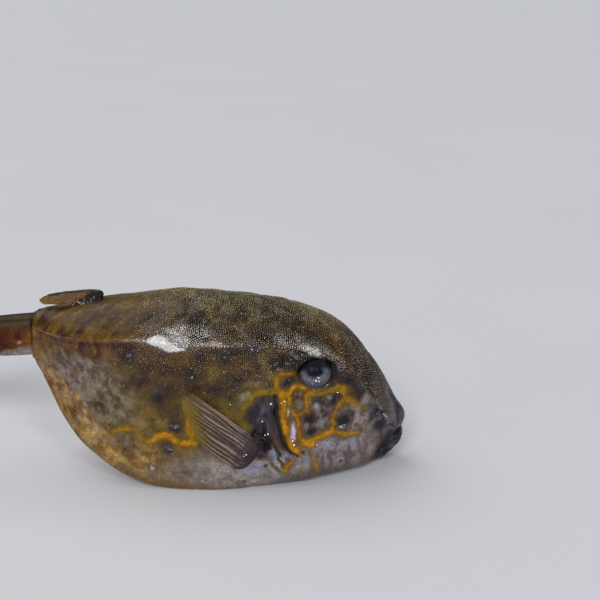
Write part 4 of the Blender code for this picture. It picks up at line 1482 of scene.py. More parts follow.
@dataclass(frozen=True)
class LipSkin:
    """The finish of a lip: black, wet and wrinkled."""

    name: str
    colour: Colour
    sheen: Colour

    def build(self) -> Material:
        """Makes the material.

        Returns:
            The material.
        """
        graph = Graph(self.name)
        patches = graph.remap(graph.noise(0.0034, 5.0), 0.46, 0.7)
        colour = graph.gain(graph.mix(patches, self.colour, self.sheen), graph.noise(0.0012, 4.0), 0.6, 1.5)
        graph.bump(graph.noise(0.0011, 4.0), 0.0004)
        graph.set(Base_Color=colour, Roughness=graph.remap(graph.noise(0.002, 2.0), 0.3, 0.7, 0.22, 0.45),
                  Coat_Weight=0.4, Coat_Roughness=0.1, Specular_IOR_Level=0.15)
        return graph.material


def make_object(name: str, points: Array, faces: Array, finish: Material,
                nodes: tuple[str, ...]) -> Piece:
    """Makes a smooth mesh piece that rides on the body.

    Args:
        name: The piece's name.
        points: Its points, in metres from the rim.
        faces: Rows of point numbers, all of three or all of four.
        finish: Its material.
        nodes: The frame's nodes that it stands for.

    Returns:
        The object.
    """
    mesh = bpy.data.meshes.new(name)
    moved = np.ascontiguousarray(points + np.array([RIM_X, 0, 0]), dtype=np.float32)
    corners = faces.shape[1]
    mesh.vertices.add(len(moved))
    mesh.vertices.foreach_set("co", moved.ravel())
    mesh.loops.add(faces.size)
    mesh.loops.foreach_set("vertex_index", np.ascontiguousarray(faces, dtype=np.int32).ravel())
    mesh.polygons.add(len(faces))
    mesh.polygons.foreach_set("loop_start", np.arange(0, faces.size, corners, dtype=np.int32))
    mesh.update(calc_edges=True)
    mesh.validate()
    mesh.materials.append(finish)
    mesh.shade_smooth()
    piece = bpy.data.objects.new(name, mesh)
    bpy.context.scene.collection.objects.link(piece)
    if nodes:
        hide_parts(*nodes)
    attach(piece, BODY)
    return piece


def store(piece: Piece, name: str, values: Array) -> None:
    """Keeps a number or a colour for each point of a piece.

    Args:
        piece: The piece.
        name: The name that its material reads.
        values: A number or a row of three for each point.
    """
    if values.ndim == 1:
        kind, key = "FLOAT", "value"
    else:
        kind, key = "FLOAT_COLOR", "color"
        values = np.concatenate((values, np.ones((len(values), 1))), axis=1)
    made = piece.data.attributes.new(name, kind, "POINT")
    made.data.foreach_set(key, np.ascontiguousarray(values, dtype=np.float32).ravel())


def store_map(piece: Piece, places: Array) -> None:
    """Keeps a bake map, with one place for each corner of each face in order."""
    layer = piece.data.uv_layers.new(name=BAKE_MAP)
    layer.uv.foreach_set("vector", np.ascontiguousarray(places, dtype=np.float32).ravel())


def inside_map(row: Array, column: Array) -> Array:
    """Gives places in a bake map from shares along and around, clear of its border."""
    return np.stack((row, column), axis=-1) * MAP_SHARE + MAP_MARGIN


@dataclass(frozen=True)
class Dome:
    """A low dome: an apex, an inner ring with a sharp edge and an outer ring, its foot."""

    sides: int

    def points(self) -> int:
        """Gives how many points it has."""
        return 1 + 2 * self.sides

    def pattern(self) -> Array:
        """Gives its triangles.

        Returns:
            Rows of three of its point numbers.
        """
        near, after = 1 + np.arange(self.sides), 1 + (np.arange(self.sides) + 1) % self.sides
        return np.concatenate((
            np.stack((np.zeros(self.sides, int), near, after), axis=-1),
            np.stack((near, near + self.sides, after + self.sides), axis=-1),
            np.stack((near, after + self.sides, after), axis=-1)))

    def faces(self, count: int) -> Array:
        """Gives the triangles of a number of domes."""
        return (self.pattern()[None] + np.arange(count)[:, None, None] * self.points()).reshape(-1, 3)

    def sharpen(self, piece: Piece) -> None:
        """Marks the inner rings of a piece's domes as sharp.

        Args:
            piece: A piece of domes only.
        """
        ends = np.empty(2 * len(piece.data.edges), dtype=np.int32)
        piece.data.edges.foreach_get("vertices", ends)
        place = ends.reshape(-1, 2) % self.points()
        sharp = piece.data.attributes.new("sharp_edge", "BOOLEAN", "EDGE")
        sharp.data.foreach_set("value", ((place >= 1) & (place <= self.sides)).all(axis=1))


class Zone(Enum):
    """A face of the shell that the granules are counted over: its first and last turn."""

    BACK = (0.0, 1.0)
    FLANK = (1.0, 2.04)
    BELLY = (2.04, 3.0)


@dataclass
class SkinMesh:
    """The one skin over shell, head and stalk, and the grid that the granules stand on."""

    skin: Skin
    shell: ShellForm
    stalk: StalkForm
    turn_runs: tuple[tuple[float, float, int], ...] = (
        (0.0, 0.92, 30), (0.92, 1.07, 14), (1.07, 2.0, 90), (2.0, 3.0, 34))
    place_runs: tuple[tuple[float, float, int], ...] = ((0.0, 0.1222, 92), (0.1222, 0.2306, 150))
    stalk_rings: int = 30
    stalk_start: float = -0.0012
    collar: tuple[Flat, ...] = ((-0.001, 0.02), (-0.0011, 0.35), (-0.0012, 0.72), (-0.0009, 0.94))
    cap_rings: tuple[Flat, ...] = ((0.66, 0.0004), (0.33, 0.0006), (0.02, 0.0006))
    snout_push: float = 3.0
    shell_fade: Flat = (-1.0, 3.0)
    snout_fade: Flat = (1.0, 8.0)
    stalk_grounds: tuple[Shade, ...] = ((54, 36, 9), (70, 46, 11), (94, 66, 16), (60, 50, 38), (108, 98, 94))
    stalk_marks: tuple[tuple[float, float, float, Shade], ...] = (
        (-9.4, 74.0, 2.2, (44, 26, 10)), (-8.8, 70.8, 1.1, (150, 120, 100)),
        (-27.0, 73.0, 2.6, (50, 30, 14)), (-38.0, 75.0, 2.2, (50, 32, 16)))

    def __post_init__(self) -> None:
        """Builds the grid of points, before and after the relief."""
        turns, places = self.spaced(self.turn_runs), self.spaced(self.place_runs)
        half = self.shell.points(places, turns)
        other = half[:, ::-1] * np.array([1.0, -1.0, 1.0])
        shell = np.concatenate((other[:, :-1], half), axis=1)
        self.turns = np.concatenate((-turns[::-1][:-1], turns))
        rim = shell[0]
        far = np.linspace(self.stalk.rings[-1].x, self.stalk_start, self.stalk_rings)
        stalk = self.stalk.points(far, rim)
        under = self.stalk.points(np.array([0.0]), rim)[0]
        collar = np.stack([under + (rim - under) * share + np.array([back, 0, 0])
                           for back, share in self.collar])
        self.smooth = np.concatenate((stalk, collar, shell))
        self.first_shell_ring = len(stalk) + len(collar)
        self.raise_relief()

    @staticmethod
    def spaced(runs: tuple[tuple[float, float, int], ...]) -> Array:
        """Gives evenly spaced values over each run, and the last run's end."""
        parts = [np.linspace(low, high, steps, endpoint=False) for low, high, steps in runs]
        return np.concatenate((*parts, [runs[-1][1]]))

    def where(self, points: Array, turns: Array) -> Places:
        """Gives flat arrays of points as the marks read them."""
        flat = points.reshape(-1, 3) / MM
        return Places(flat[:, 0], flat[:, 1], flat[:, 2], turns.reshape(-1))

    def grid_normals(self, grid: Array) -> Array:
        """Gives the outward normals of a grid of closed rings, the first column again at the end."""
        around = np.roll(grid[:, :-1], -1, axis=1) - np.roll(grid[:, :-1], 1, axis=1)
        return unit(np.cross(np.gradient(grid, axis=0), np.concatenate((around, around[:, :1]), axis=1)))

    def raise_relief(self) -> None:
        """Moves the shell's points out by the relief, and keeps the belly on the floor."""
        rings = np.arange(len(self.smooth))
        turns = np.broadcast_to(self.turns, self.smooth.shape[:2])
        self.places = self.where(self.smooth, turns)
        height = self.skin.height(self.places).reshape(self.smooth.shape[:2]) * MM
        height = height * ease(rings - self.first_shell_ring, *self.shell_fade)[:, None]
        near, far = self.snout_fade
        height = height * ease(rings, len(rings) - near, len(rings) - far)[:, None]
        lifted = self.smooth + self.grid_normals(self.smooth) * height[..., None]
        lifted[:, -1] = lifted[:, 0]
        lifted[..., 2] = np.maximum(lifted[..., 2], 0.0)
        self.grid, self.normals = lifted, self.grid_normals(lifted)

    def build(self, finish: Material) -> Piece:
        """Makes the skin's mesh with its colours and bake map.

        Args:
            finish: The material.

        Returns:
            The skin.
        """
        rings, columns = self.grid.shape[0], self.grid.shape[1] - 1
        points, number = self.grid[:, :-1].reshape(-1, 3), wrapped(rings, columns)
        row, column = np.meshgrid(np.arange(rings), np.arange(columns + 1), indexing="ij")
        spread = inside_map(row / (rings - 1), column / columns)
        caps, faces, corners = [], [cells_of(number).reshape(-1, 4)], [cells_of(spread).reshape(-1, 2)]
        for end, last, step, push in ((0, number[0], -1, 1.0), (rings - 1, number[-1], 1, -self.snout_push)):
            rim, previous = points[last[:-1]], last
            start = len(points) + sum(len(part) for part in caps)
            for level, (share, depth) in enumerate(self.cap_rings):
                middle = rim.mean(axis=0)
                caps.append(middle + (rim - middle) * share + np.array([step * depth * push, 0, 0]))
                fresh = start + level * columns + np.arange(columns + 1) % columns
                pair = (previous[:-1], previous[1:], fresh[1:], fresh[:-1])
                faces.append(np.stack(pair if step > 0 else pair[::-1], axis=-1))
                corners.append(np.tile(spread[end, :1], (4 * columns, 1)))
                previous = fresh
        points = np.concatenate((points, *caps))
        piece = make_object("boxfish_skin", points, np.concatenate(faces), finish,
                            ("trunk", "head", "tail_stalk"))
        store_map(piece, np.concatenate(corners))
        self.paint(piece)
        return piece

    def paint(self, piece: Piece) -> None:
        """Stores the colours and the measures that the material reads.

        Args:
            piece: The skin.
        """
        rings, columns = self.grid.shape[0], self.grid.shape[1] - 1
        keep = (np.arange(rings)[:, None] * (columns + 1) + np.arange(columns)[None]).reshape(-1)
        at, skin = self.places.pick(keep), self.skin
        dark, pale = skin.dark_field(at)
        grain = 1 - skin.smoothness(at)
        # Between the granules the ground is darkened: partly its own darker tone and partly painted shade
        # between the domes.
        ground = skin.ground(at) * (1 - (0.46 + 0.14 * at.back) * grain * skin.relish(at))[:, None]
        # The skin is darkened under the painted sparkle, as painted shade between the lit tips.
        ground = ground * (1 - 0.3 * skin.painted_sparkle(at))[:, None]
        # Spots in their own colours, with painted shade in the slits, the fin pit and round the eye.
        ground = blend(blend(ground, skin.black, dark), skin.pearl, pale)
        ground = self.tail_colours(at, ground, keep)
        # Painted sheen: the skin is blended to a pale colour on the shoulder, along the ridge and on the
        # brow.
        painted_sheen = skin.sheen_ground * ease(skin.painted_sheen(at), 0.25, 0.85)
        ground = np.clip(blend(skin.bright(ground, at), skin.sheen_white, painted_sheen), 0, 1)
        edge, olive, faint = skin.strand_field(at)
        rest, shell = len(piece.data.vertices) - len(keep), at.on_shell
        store(piece, "ground", np.concatenate((ground, np.tile(np.array(skin.black), (rest, 1)))))
        for name, values, last in (
                ("edge", np.where(shell, edge, FAR), FAR), ("olive", olive, 0.0), ("bright", 1 - faint, 0.0),
                ("wet", skin.wetness(at), 0.2), ("marble", skin.marbling(at), 0.0),
                ("grain", np.where(shell, grain, 0.0), 0.0)):
            store(piece, name, np.concatenate((values, np.full(rest, last))))

    def tail_colours(self, at: Places, ground: Array, keep: Array) -> Array:
        """Lays the stalk's bands and marks over its part of the skin, near black where it meets the shell.

        Args:
            at: The points.
            ground: Their colours so far.
            keep: Their numbers in the grid.

        Returns:
            The new colours.
        """
        x, z, mottle = at.x, at.z, self.skin.mottle.over(at, 4.0)
        middle, ahead, rim, top, low = (srgb(*shade) for shade in self.stalk_grounds)
        colour = np.tile(np.array(middle), (len(z), 1))
        ahead_x, high = x + 3 * mottle, z + 1.5 * mottle
        for shade, share in ((ahead, ease(ahead_x, -30, -8)), (rim, ease(ahead_x, -10, 0)),
                             (top, ease(high, 76.4, 80.6)),
                             (low, ease(high - 0.25 * (x + 10), 68.5, 65.0))):
            colour = blend(colour, shade, share)
        for mark_x, mark_z, radius, shade in self.stalk_marks:
            share = ease(np.hypot(x - mark_x, z - mark_z) * (1 + 0.3 * mottle), radius * 1.6, 0.0)
            colour = blend(colour, srgb(*shade), 0.85 * share)
        colour = colour * (1 + 0.22 * mottle)[:, None]
        colour = blend(colour, self.skin.black, ease(x, -2.2, -0.9) * 0.75)
        return np.where((keep // self.grid.shape[1] < self.first_shell_ring)[:, None], colour, ground)

    def sample(self, rows: Array, columns: Array, values: Array) -> Array:
        """Reads a grid of values at fractional rows and columns.

        Args:
            rows: The rows.
            columns: The columns.
            values: The grid.

        Returns:
            A value for each place.
        """
        i = np.clip(np.floor(rows).astype(int), 0, values.shape[0] - 2)
        j = np.clip(np.floor(columns).astype(int), 0, values.shape[1] - 2)
        a, b = rows - i, columns - j
        if values.ndim == 3:
            a, b = a[:, None], b[:, None]
        return (values[i, j] * (1 - a) * (1 - b) + values[i + 1, j] * a * (1 - b)
                + values[i, j + 1] * (1 - a) * b + values[i + 1, j + 1] * a * b)


@dataclass
class Granules:
    """Domes of mesh that stand in rows on the plates of one face of the shell."""

    name: str
    base: SkinMesh
    zone: Zone
    sides: tuple[float, ...]
    shape: Dome = Dome(5)
    pitch: float = 1.08 * MM
    height: float = 0.26 * MM
    sunk: float = 0.06 * MM
    spread: float = 0.43
    sways: tuple[Triple, ...] = ((9.0 * MM, 0.0, 1.6 * MM), (4.5 * MM, 5.0, 0.4 * 1.6 * MM))
    jitter: float = 0.13
    patch: float = 0.003
    seed: int = 3
    least: float = 0.16
    first_x: float = 2.5
    strand_gap: float = 1.3
    sizes: Flat = (0.72, 1.15)
    fullness: float = 0.35
    aside: Point = (0.31, 0.17, 0.93)
    least_cell: float = 0.1 * MM
    last_cell: float = 1.01
    top_share: float = 0.56
    top_level: float = 0.94
    top_tilt: float = 0.16
    glints: float = 0.08
    # Painted shade at the foot of each dome and painted light at its apex.
    foot_shade: float = 0.66
    apex_gain: float = 1.18
    gold: Colour = srgb(196, 168, 116)
    # The pale colour of the painted sheen on granule tips.
    worn: Colour = srgb(186, 180, 172)
    glint: Colour = srgb(206, 192, 168)

    def __post_init__(self) -> None:
        """Measures the cells of the skin's grid along and around the fish."""
        slopes = np.gradient(self.base.grid, axis=(0, 1))
        self.along, self.beside = (np.maximum(np.linalg.norm(slope, axis=2), self.least_cell)
                                   for slope in slopes)

    def rows_of(self, side: float) -> tuple[list[Array], list[Array]]:
        """Lays out the rows on one side, each offset by half a pitch from the last.

        Args:
            side: The side of the fish.

        Returns:
            Fractional rows and columns of the skin's grid, a pair of lists for each row.
        """
        grid, turns, first = self.base.grid, self.base.turns, self.base.first_shell_ring
        low, high = self.zone.value
        chosen = np.flatnonzero((turns * side >= low - TINY) & (turns * side <= high + TINY))
        middle = grid[first:, chosen[len(chosen) // 2]]
        run, step = lengths(middle), self.pitch * HEX_ROW
        ring_rows = np.interp((np.arange(int(run[-1] / step)) + 0.5) * step, run, np.arange(len(run)))
        order = chosen if (side > 0) != (self.zone is Zone.BACK) else chosen[::-1]
        rows, columns = [], []
        for index, row in enumerate(ring_rows + first):
            i = int(row)
            line = grid[i, order] * (1 - row + i) + grid[min(i + 1, len(grid) - 1), order] * (row - i)
            length = lengths(line)
            spots = (np.arange(int(length[-1] / self.pitch) + 1) + 0.5 * (index % 2)) * self.pitch
            spots = spots[spots < length[-1]]
            columns.append(np.interp(spots, length, order.astype(float)))
            rows.append(np.full(len(spots), row))
        return rows, columns

    def places(self) -> tuple[Array, Array]:
        """Lays out the granules, and moves them a little so that the rows aren't even.

        Returns:
            Fractional rows and columns of the skin's grid.
        """
        rng = np.random.default_rng(self.seed)
        rows, columns = [], []
        for side in self.sides:
            more = self.rows_of(side)
            rows += more[0]
            columns += more[1]
        rows, columns = np.concatenate(rows), np.concatenate(columns)
        here, ahead, beside = (self.base.sample(rows, columns, values)
                               for values in (self.base.smooth, self.along, self.beside))
        noise = SoftNoise(self.seed + 7)
        for step, shift, size in self.sways:
            rows = rows + noise.at(here[:, 0], here[:, 1], here[:, 2] + shift, step) * size / ahead
            columns = columns + noise.at(here[:, 0], here[:, 1] + shift, here[:, 2], step) * size / beside
        rows = rows + rng.normal(0, self.jitter, len(rows)) * self.pitch / ahead
        columns = columns + rng.normal(0, self.jitter, len(columns)) * self.pitch / beside
        first, (last, end) = self.base.first_shell_ring, self.base.grid.shape[:2]
        return np.clip(rows, first, last - self.last_cell), np.clip(columns, 0, end - self.last_cell)

    def build(self, finish: Material) -> Piece:
        """Makes the domes.

        Args:
            finish: Their material.

        Returns:
            The piece.
        """
        base, skin = self.base, self.base.skin
        rows, columns = self.places()
        turns = np.broadcast_to(base.turns, base.grid.shape[:2])
        at = base.where(base.sample(rows, columns, base.smooth), base.sample(rows, columns, turns))
        size = (1 - skin.smoothness(at)) * (0.55 + 0.45 * skin.relish(at))
        rng = np.random.default_rng(self.seed + 1)
        size = size * rng.uniform(*self.sizes, len(size))
        keep = (size > self.least) & (at.x > self.first_x) & (skin.strand_field(at)[0] > self.strand_gap)
        rows, columns, size, at = rows[keep], columns[keep], size[keep], at.pick(keep)
        points = self.points(rows, columns, size, rng)
        faces = self.shape.faces(len(size))
        piece = make_object(self.name, points.reshape(-1, 3), faces, finish, ())
        self.shape.sharpen(piece)
        store(piece, "ground", self.colours(at, size, rng))
        flat = np.stack((np.cos(on_circle(self.shape.sides)), np.sin(on_circle(self.shape.sides))), axis=-1)
        ring = np.concatenate(([[0, 0]], 0.5 * flat, flat)) * self.patch / 2
        origin = inside_map(rows / (base.grid.shape[0] - 1), columns / (base.grid.shape[1] - 1))
        store_map(piece, (origin[:, None, None] + ring[self.shape.pattern()][None]).reshape(-1, 2))
        return piece

    def points(self, rows: Array, columns: Array, size: Array, rng: np.random.Generator) -> Array:
        """Shapes the domes, each turned and tilted at random.

        Args:
            rows: Fractional rows of the skin's grid.
            columns: Fractional columns.
            size: How big each dome is, 1 for a full one.
            rng: Where the random turns and tilts come from.

        Returns:
            The points of each dome.
        """
        centre = self.base.sample(rows, columns, self.base.grid)
        normal = unit(self.base.sample(rows, columns, self.base.normals))
        across = unit(np.cross(normal, np.array(self.aside)))
        beside = np.cross(normal, across)
        turn = rng.uniform(0, 2 * math.pi, len(size))[:, None] + on_circle(self.shape.sides)
        radius = (self.pitch * self.spread * np.minimum(size, 1.0) ** self.fullness)[:, None, None]
        high = (self.height * size)[:, None, None]
        way = np.cos(turn)[..., None] * across[:, None] + np.sin(turn)[..., None] * beside[:, None]
        lift = normal[:, None]
        tilt = rng.normal(0, self.top_tilt, (len(size), 2))
        lean = (np.cos(turn) * tilt[:, :1] + np.sin(turn) * tilt[:, 1:])[..., None] * radius * self.top_share
        inner = centre[:, None] + way * radius * self.top_share + lift * (high * self.top_level + lean)
        outer = centre[:, None] + way * radius - lift * self.sunk
        points = np.concatenate((centre[:, None] + lift * high, inner, outer), axis=1)
        points[..., 2] = np.maximum(points[..., 2], 0.0)
        return points

    def colours(self, at: Places, size: Array, rng: np.random.Generator) -> Array:
        """Colours the domes from the skin, with a lighter apex and darker feet as painted light and shade.

        Args:
            at: Their places.
            size: How big each dome is, 1 for a full one.
            rng: Where the random shades come from.

        Returns:
            A colour for each point of each dome.
        """
        skin, count = self.base.skin, self.shape.sides
        colour, relish = skin.bright(skin.colour(at), at), skin.relish(at)
        shade = 1 + (0.15 + 0.3 * relish) * rng.uniform(-1, 1, len(size))
        colour = colour * ((1 + 0.6 * size * relish) * shade)[:, None]
        gold = (0.1 * size * relish)[:, None] * np.array(self.gold)
        # Painted sparkle: paler tips, and darker feet between them.
        painted_sparkle = skin.painted_sparkle(at)[:, None]
        # Painted sheen on granule tips along the ridge, over the eye and where the painted sparkle lies.
        worn = np.minimum(skin.painted_tip_sheen(at)[:, None] * rng.uniform(0.5, 1.2, (len(size), 1)), 1)
        tip = colour + gold + worn * (np.array(self.worn) * (1 + 0.45 * painted_sparkle) - colour)
        glint = (rng.uniform(0, 1, len(size)) < self.glints * relish) * rng.uniform(0.15, 0.5, len(size))
        tip = blend(tip, self.glint, glint * ease(relish, 0.2, 0.9))
        # Painted sheen on the domes: pale tips, and pale feet too where it is strongest.
        painted_sheen = ease(skin.painted_sheen(at) + rng.uniform(-0.26, 0.26, len(size)), 0.22, 0.7)
        foot = colour * (1 - self.foot_shade * relish)[:, None] * (1 - 0.25 * painted_sparkle)
        tip, foot = blend(tip, skin.sheen_white, painted_sheen), blend(foot, skin.sheen_white, painted_sheen ** 2)
        # A lighter apex and darker feet, as painted light and shade on each dome.
        shades = (self.apex_gain * tip[:, None], *(tip[:, None],) * count, *(foot[:, None],) * count)
        return np.clip(np.concatenate(shades, axis=1), 0, 1).reshape(-1, 3)


class FinPlan(NamedTuple):
    """A fin as on the frame: base line, margin, rays, thicknesses, bow and crest."""

    root: tuple[Point, ...]
    margin: tuple[Point, ...]
    rays: int
    flesh: float
    edge: float
    ray_height: float
    bow: Point
    crest: Point


PECTORAL = FinPlan(
    root=((0.1206, 0.0346, 0.0262), (0.1168, 0.0366, 0.018), (0.1092, 0.038, 0.0104)),
    margin=((0.0874, 0.0405, 0.0558), (0.0824, 0.042, 0.0542), (0.0809, 0.043, 0.0503),
            (0.0833, 0.0438, 0.0445), (0.0871, 0.0442, 0.0358), (0.0915, 0.0445, 0.028)),
    rays=10, flesh=0.0064, edge=0.0005, ray_height=0.0008, bow=(0, 0.0012, 0), crest=(0, 0, 0))
DORSAL = FinPlan(
    root=((0.0352, 0.0, 0.0918), (0.028, 0.0, 0.0898), (0.0205, -0.0004, 0.088)),
    margin=((0.0075, -0.0006, 0.0958), (0.0022, -0.0008, 0.0928), (0.0045, -0.001, 0.0902)),
    rays=9, flesh=0.0064, edge=0.0005, ray_height=0.0007, bow=(0, 0.0006, 0.0006),
    crest=(0.0034, 0, 0.0052))
ANAL = FinPlan(
    root=((0.0345, 0.0, 0.015), (0.028, 0.0004, 0.0202), (0.0216, 0.0008, 0.0268)),
    margin=((0.0092, 0.0075, 0.0362), (0.0036, 0.0085, 0.0426), (0.004, 0.0082, 0.0462)),
    rays=9, flesh=0.0058, edge=0.0005, ray_height=0.0007, bow=(-0.0024, 0.0008, -0.0024),
    crest=(-0.0012, 0, -0.0016))
CAUDAL = FinPlan(
    root=((-0.048, 0.0, 0.0792), (-0.049, 0.0, 0.0717), (-0.048, 0.0, 0.0648)),
    margin=((-0.0905, 0.003, 0.093), (-0.1005, 0.0044, 0.0835), (-0.104, 0.005, 0.07),
            (-0.1005, 0.0044, 0.0565), (-0.0905, 0.003, 0.048)),
    rays=10, flesh=0.0052, edge=0.0006, ray_height=0.0007, bow=(0, -0.002, 0), crest=(0, 0, 0))


@dataclass
class Fin:
    """A fin of branching rays and thin web over a fleshy base."""

    node: str
    plan: FinPlan
    side: float = LEFT
    columns_to_ray: int = 12
    rows: int = 64
    notch: float = 0.035
    tatter: float = 0.02
    flesh_reach: float = 0.31
    flesh_fall: float = 1.5
    ray_taper: float = 0.6
    ray_width: float = 0.155
    ray_narrowing: float = 0.06
    ray_parting: float = 0.17
    joints: int = 26
    joint_rise: float = 0.1
    crest_skew: float = 0.4
    lumps: float = 0.25 * MM
    lump_size: float = 2.2
    wander: float = 0.0
    fold: float = 0.22 * MM
    stained: float = 0.0
    lobe: float = 0.0
    lobe_round: float = 1.27
    lobe_dip: float = 0.0
    low_reach: float = 4.0 * MM
    surface: Array | None = None

    def __post_init__(self) -> None:
        """Counts the columns and seeds the noise."""
        self.columns = self.plan.rays * self.columns_to_ray + 1
        self.across = np.linspace(0, 1, self.columns)
        self.out = np.linspace(-0.25 * self.lobe, 1, self.rows)
        self.noise = SoftNoise(61)
        self.drift = self.noise.at((self.across * 7.0)[:, None], (self.out * 3.4)[None], 3.0, 1.0)

    def build(self, finish: Material) -> Piece:
        """Makes the fin.

        Args:
            finish: Its material.

        Returns:
            The piece.
        """
        plan, across, out = self.plan, self.across, self.out
        ray, gap, paint = self.rays()
        base, tips = (natural_spline(np.linspace(0, 1, len(line)), np.array(line), across)
                      for line in (plan.root, plan.margin))
        middle = self.sheet(base, tips, ray)
        normal = unit(np.cross(np.gradient(middle, axis=0), np.gradient(middle, axis=1)))
        fold = self.fold * np.cos(2 * math.pi * gap) * between(out, 0.05, 0.45, 0.55, 1.1)[None]
        middle = middle + normal * fold[..., None]
        fleshy = np.minimum(1.0, np.maximum(0.0, 1 - out / self.flesh_reach)) ** self.flesh_fall
        at = middle / MM
        half = self.half_thickness(ray, fleshy)
        half = half + (self.noise.at(at[..., 0], at[..., 1], at[..., 2], self.lump_size)
                       * self.lumps * (0.15 + fleshy)[None])
        flip = np.array([1, self.side, 1])
        front, back = middle + normal * half[..., None], middle - normal * half[..., None]
        self.surface = (np.where(normal[..., 1:2] > 0, front, back) * flip).reshape(-1, 3)
        points = np.concatenate((front.reshape(-1, 3), back.reshape(-1, 3))) * flip
        faces = self.closed_faces(self.columns, self.rows)
        if self.side > 0:
            faces = faces[:, ::-1]
        piece = make_object(self.node + "_web", points, faces, finish, (self.node,))
        stain = ease(out, 0.62, 0.92)[None] * between(across, 0.1, 0.34, 0.74, 1.0)[:, None]
        stain = self.stained * stain * (0.75 + 0.25 * self.noise.at(at[..., 0], at[..., 2], 4.0, 3.0))
        lead = ease(across + 0.06 * self.drift[:, -1], 0.3, 0.06)[:, None]
        low = np.clip((tips[None, 0, 2] - middle[..., 2]) / self.low_reach, 0, 1)
        for name, values in (("ray", paint), ("stain", stain), ("out", out), ("lead", lead),
                             ("flesh", fleshy), ("low", low)):
            store(piece, name, np.tile(np.broadcast_to(values, ray.shape).reshape(-1), 2))
        return piece

    def rays(self) -> tuple[Array, Array, Array]:
        """Draws the rays, each parting into two towards the margin.

        Returns:
            How much of a ray each place is, how far it lies from the ray and how much of its colour it has.
        """
        across, out, noise = self.across, self.out, self.noise
        phase = (across * self.plan.rays - 0.5)[:, None] + self.wander * self.drift
        number = np.round(phase)
        gap = phase - number
        parting = self.ray_parting * ease(out, 0.42, 0.95)[None]
        width = (self.ray_width - self.ray_narrowing * ease(out, 0.4, 0.8))[None]
        ray = np.maximum(bell(gap - parting, width), bell(gap + parting, width))
        paint = ray * (0.66 + 0.34 * noise.at(number * 5.37, 0.5, 8.5, 1.0))
        paint = paint * (0.8 + 0.35 * noise.at((across * 16.0)[:, None], (out * 5.0)[None], 6.0, 1.0))
        front_ray = ease(across, 0.05, 0.0)[:, None] * ease(out, 0.98, 0.7)[None]
        return ray, gap, np.maximum(paint, 0.95 * front_ray)

    def sheet(self, base: Array, tips: Array, ray: Array) -> Array:
        """Spans the fin between its root and its margin, with its bow and its crest.

        Args:
            base: A point of the root for each column.
            tips: A point of the margin for each column.
            ray: How much of a ray each place is.

        Returns:
            The middle of the fin, by column and row.
        """
        out, across = self.out, self.across
        tatter = 0.5 + 0.5 * self.noise.at(across * 40, 0.0, 0.0, 1.3)
        short = self.notch * (1 - ray[:, -1:]) * out[None] + self.tatter * tatter[:, None] * out[None]
        middle = base[:, None] + (tips - base)[:, None] * (out[None] * (1 - short))[..., None]
        pinch = self.pinch()
        centre = middle[self.columns // 2]
        middle = centre[None] + (middle - centre[None]) * pinch[None, :, None]
        middle[..., 1] -= (self.lobe_dip * (1 - pinch) ** 1.5)[None]
        middle = middle + np.array(self.plan.bow) * np.sin(math.pi * np.maximum(out, 0))[None, :, None]
        rise = (1 - across)[:, None] * np.sin(math.pi * np.maximum(out, 0) ** self.crest_skew)[None]
        return middle + np.array(self.plan.crest) * rise[..., None]

    def half_thickness(self, ray: Array, fleshy: Array) -> Array:
        """Gives half the fin's thickness, thin at the web and full at the root.

        Args:
            ray: How much of a ray each place is.
            fleshy: How fleshy each row is.

        Returns:
            Half the thickness, by column and row.
        """
        plan, out, across = self.plan, self.out, self.across
        joints = 1 + self.joint_rise * np.cos(2 * math.pi * out * self.joints) * ease(out, 0.35, 0.5)
        thin = plan.edge + plan.ray_height * ray * joints[None] * (1 - self.ray_taper * out)[None]
        half = (plan.flesh * fleshy[None] + (1 - fleshy[None]) * thin) / 2
        edge_fade = ease(np.minimum(across, 1 - across), -0.01, 0.06)
        return half * (0.35 + 0.65 * edge_fade)[:, None] * (self.pinch() ** 0.7)[None]

    def pinch(self) -> Array:
        """Gives how much of its full width the fin has at each row, rounded off at a fleshy root."""
        share = np.clip((self.lobe - self.out) / (self.lobe_round * self.lobe or 1.0), 0, 1)
        return np.sqrt(1 - share ** 2)

    @staticmethod
    def closed_faces(columns: int, rows: int) -> Array:
        """Joins two facing sheets round their edges.

        Args:
            columns: How many columns of points a sheet has.
            rows: How many rows it has.

        Returns:
            The quads.
        """
        front = np.arange(columns * rows).reshape(columns, rows)
        back = front + columns * rows
        border = np.concatenate((front[:, 0], front[-1, 1:], front[-2::-1, -1], front[0, -2:0:-1]))
        behind = border + columns * rows
        rim = np.stack((border, np.roll(border, -1), np.roll(behind, -1), behind), axis=-1)
        turned = cells_of(back)[..., [0, 3, 2, 1]]
        return np.concatenate((cells_of(front).reshape(-1, 4), turned.reshape(-1, 4), rim))


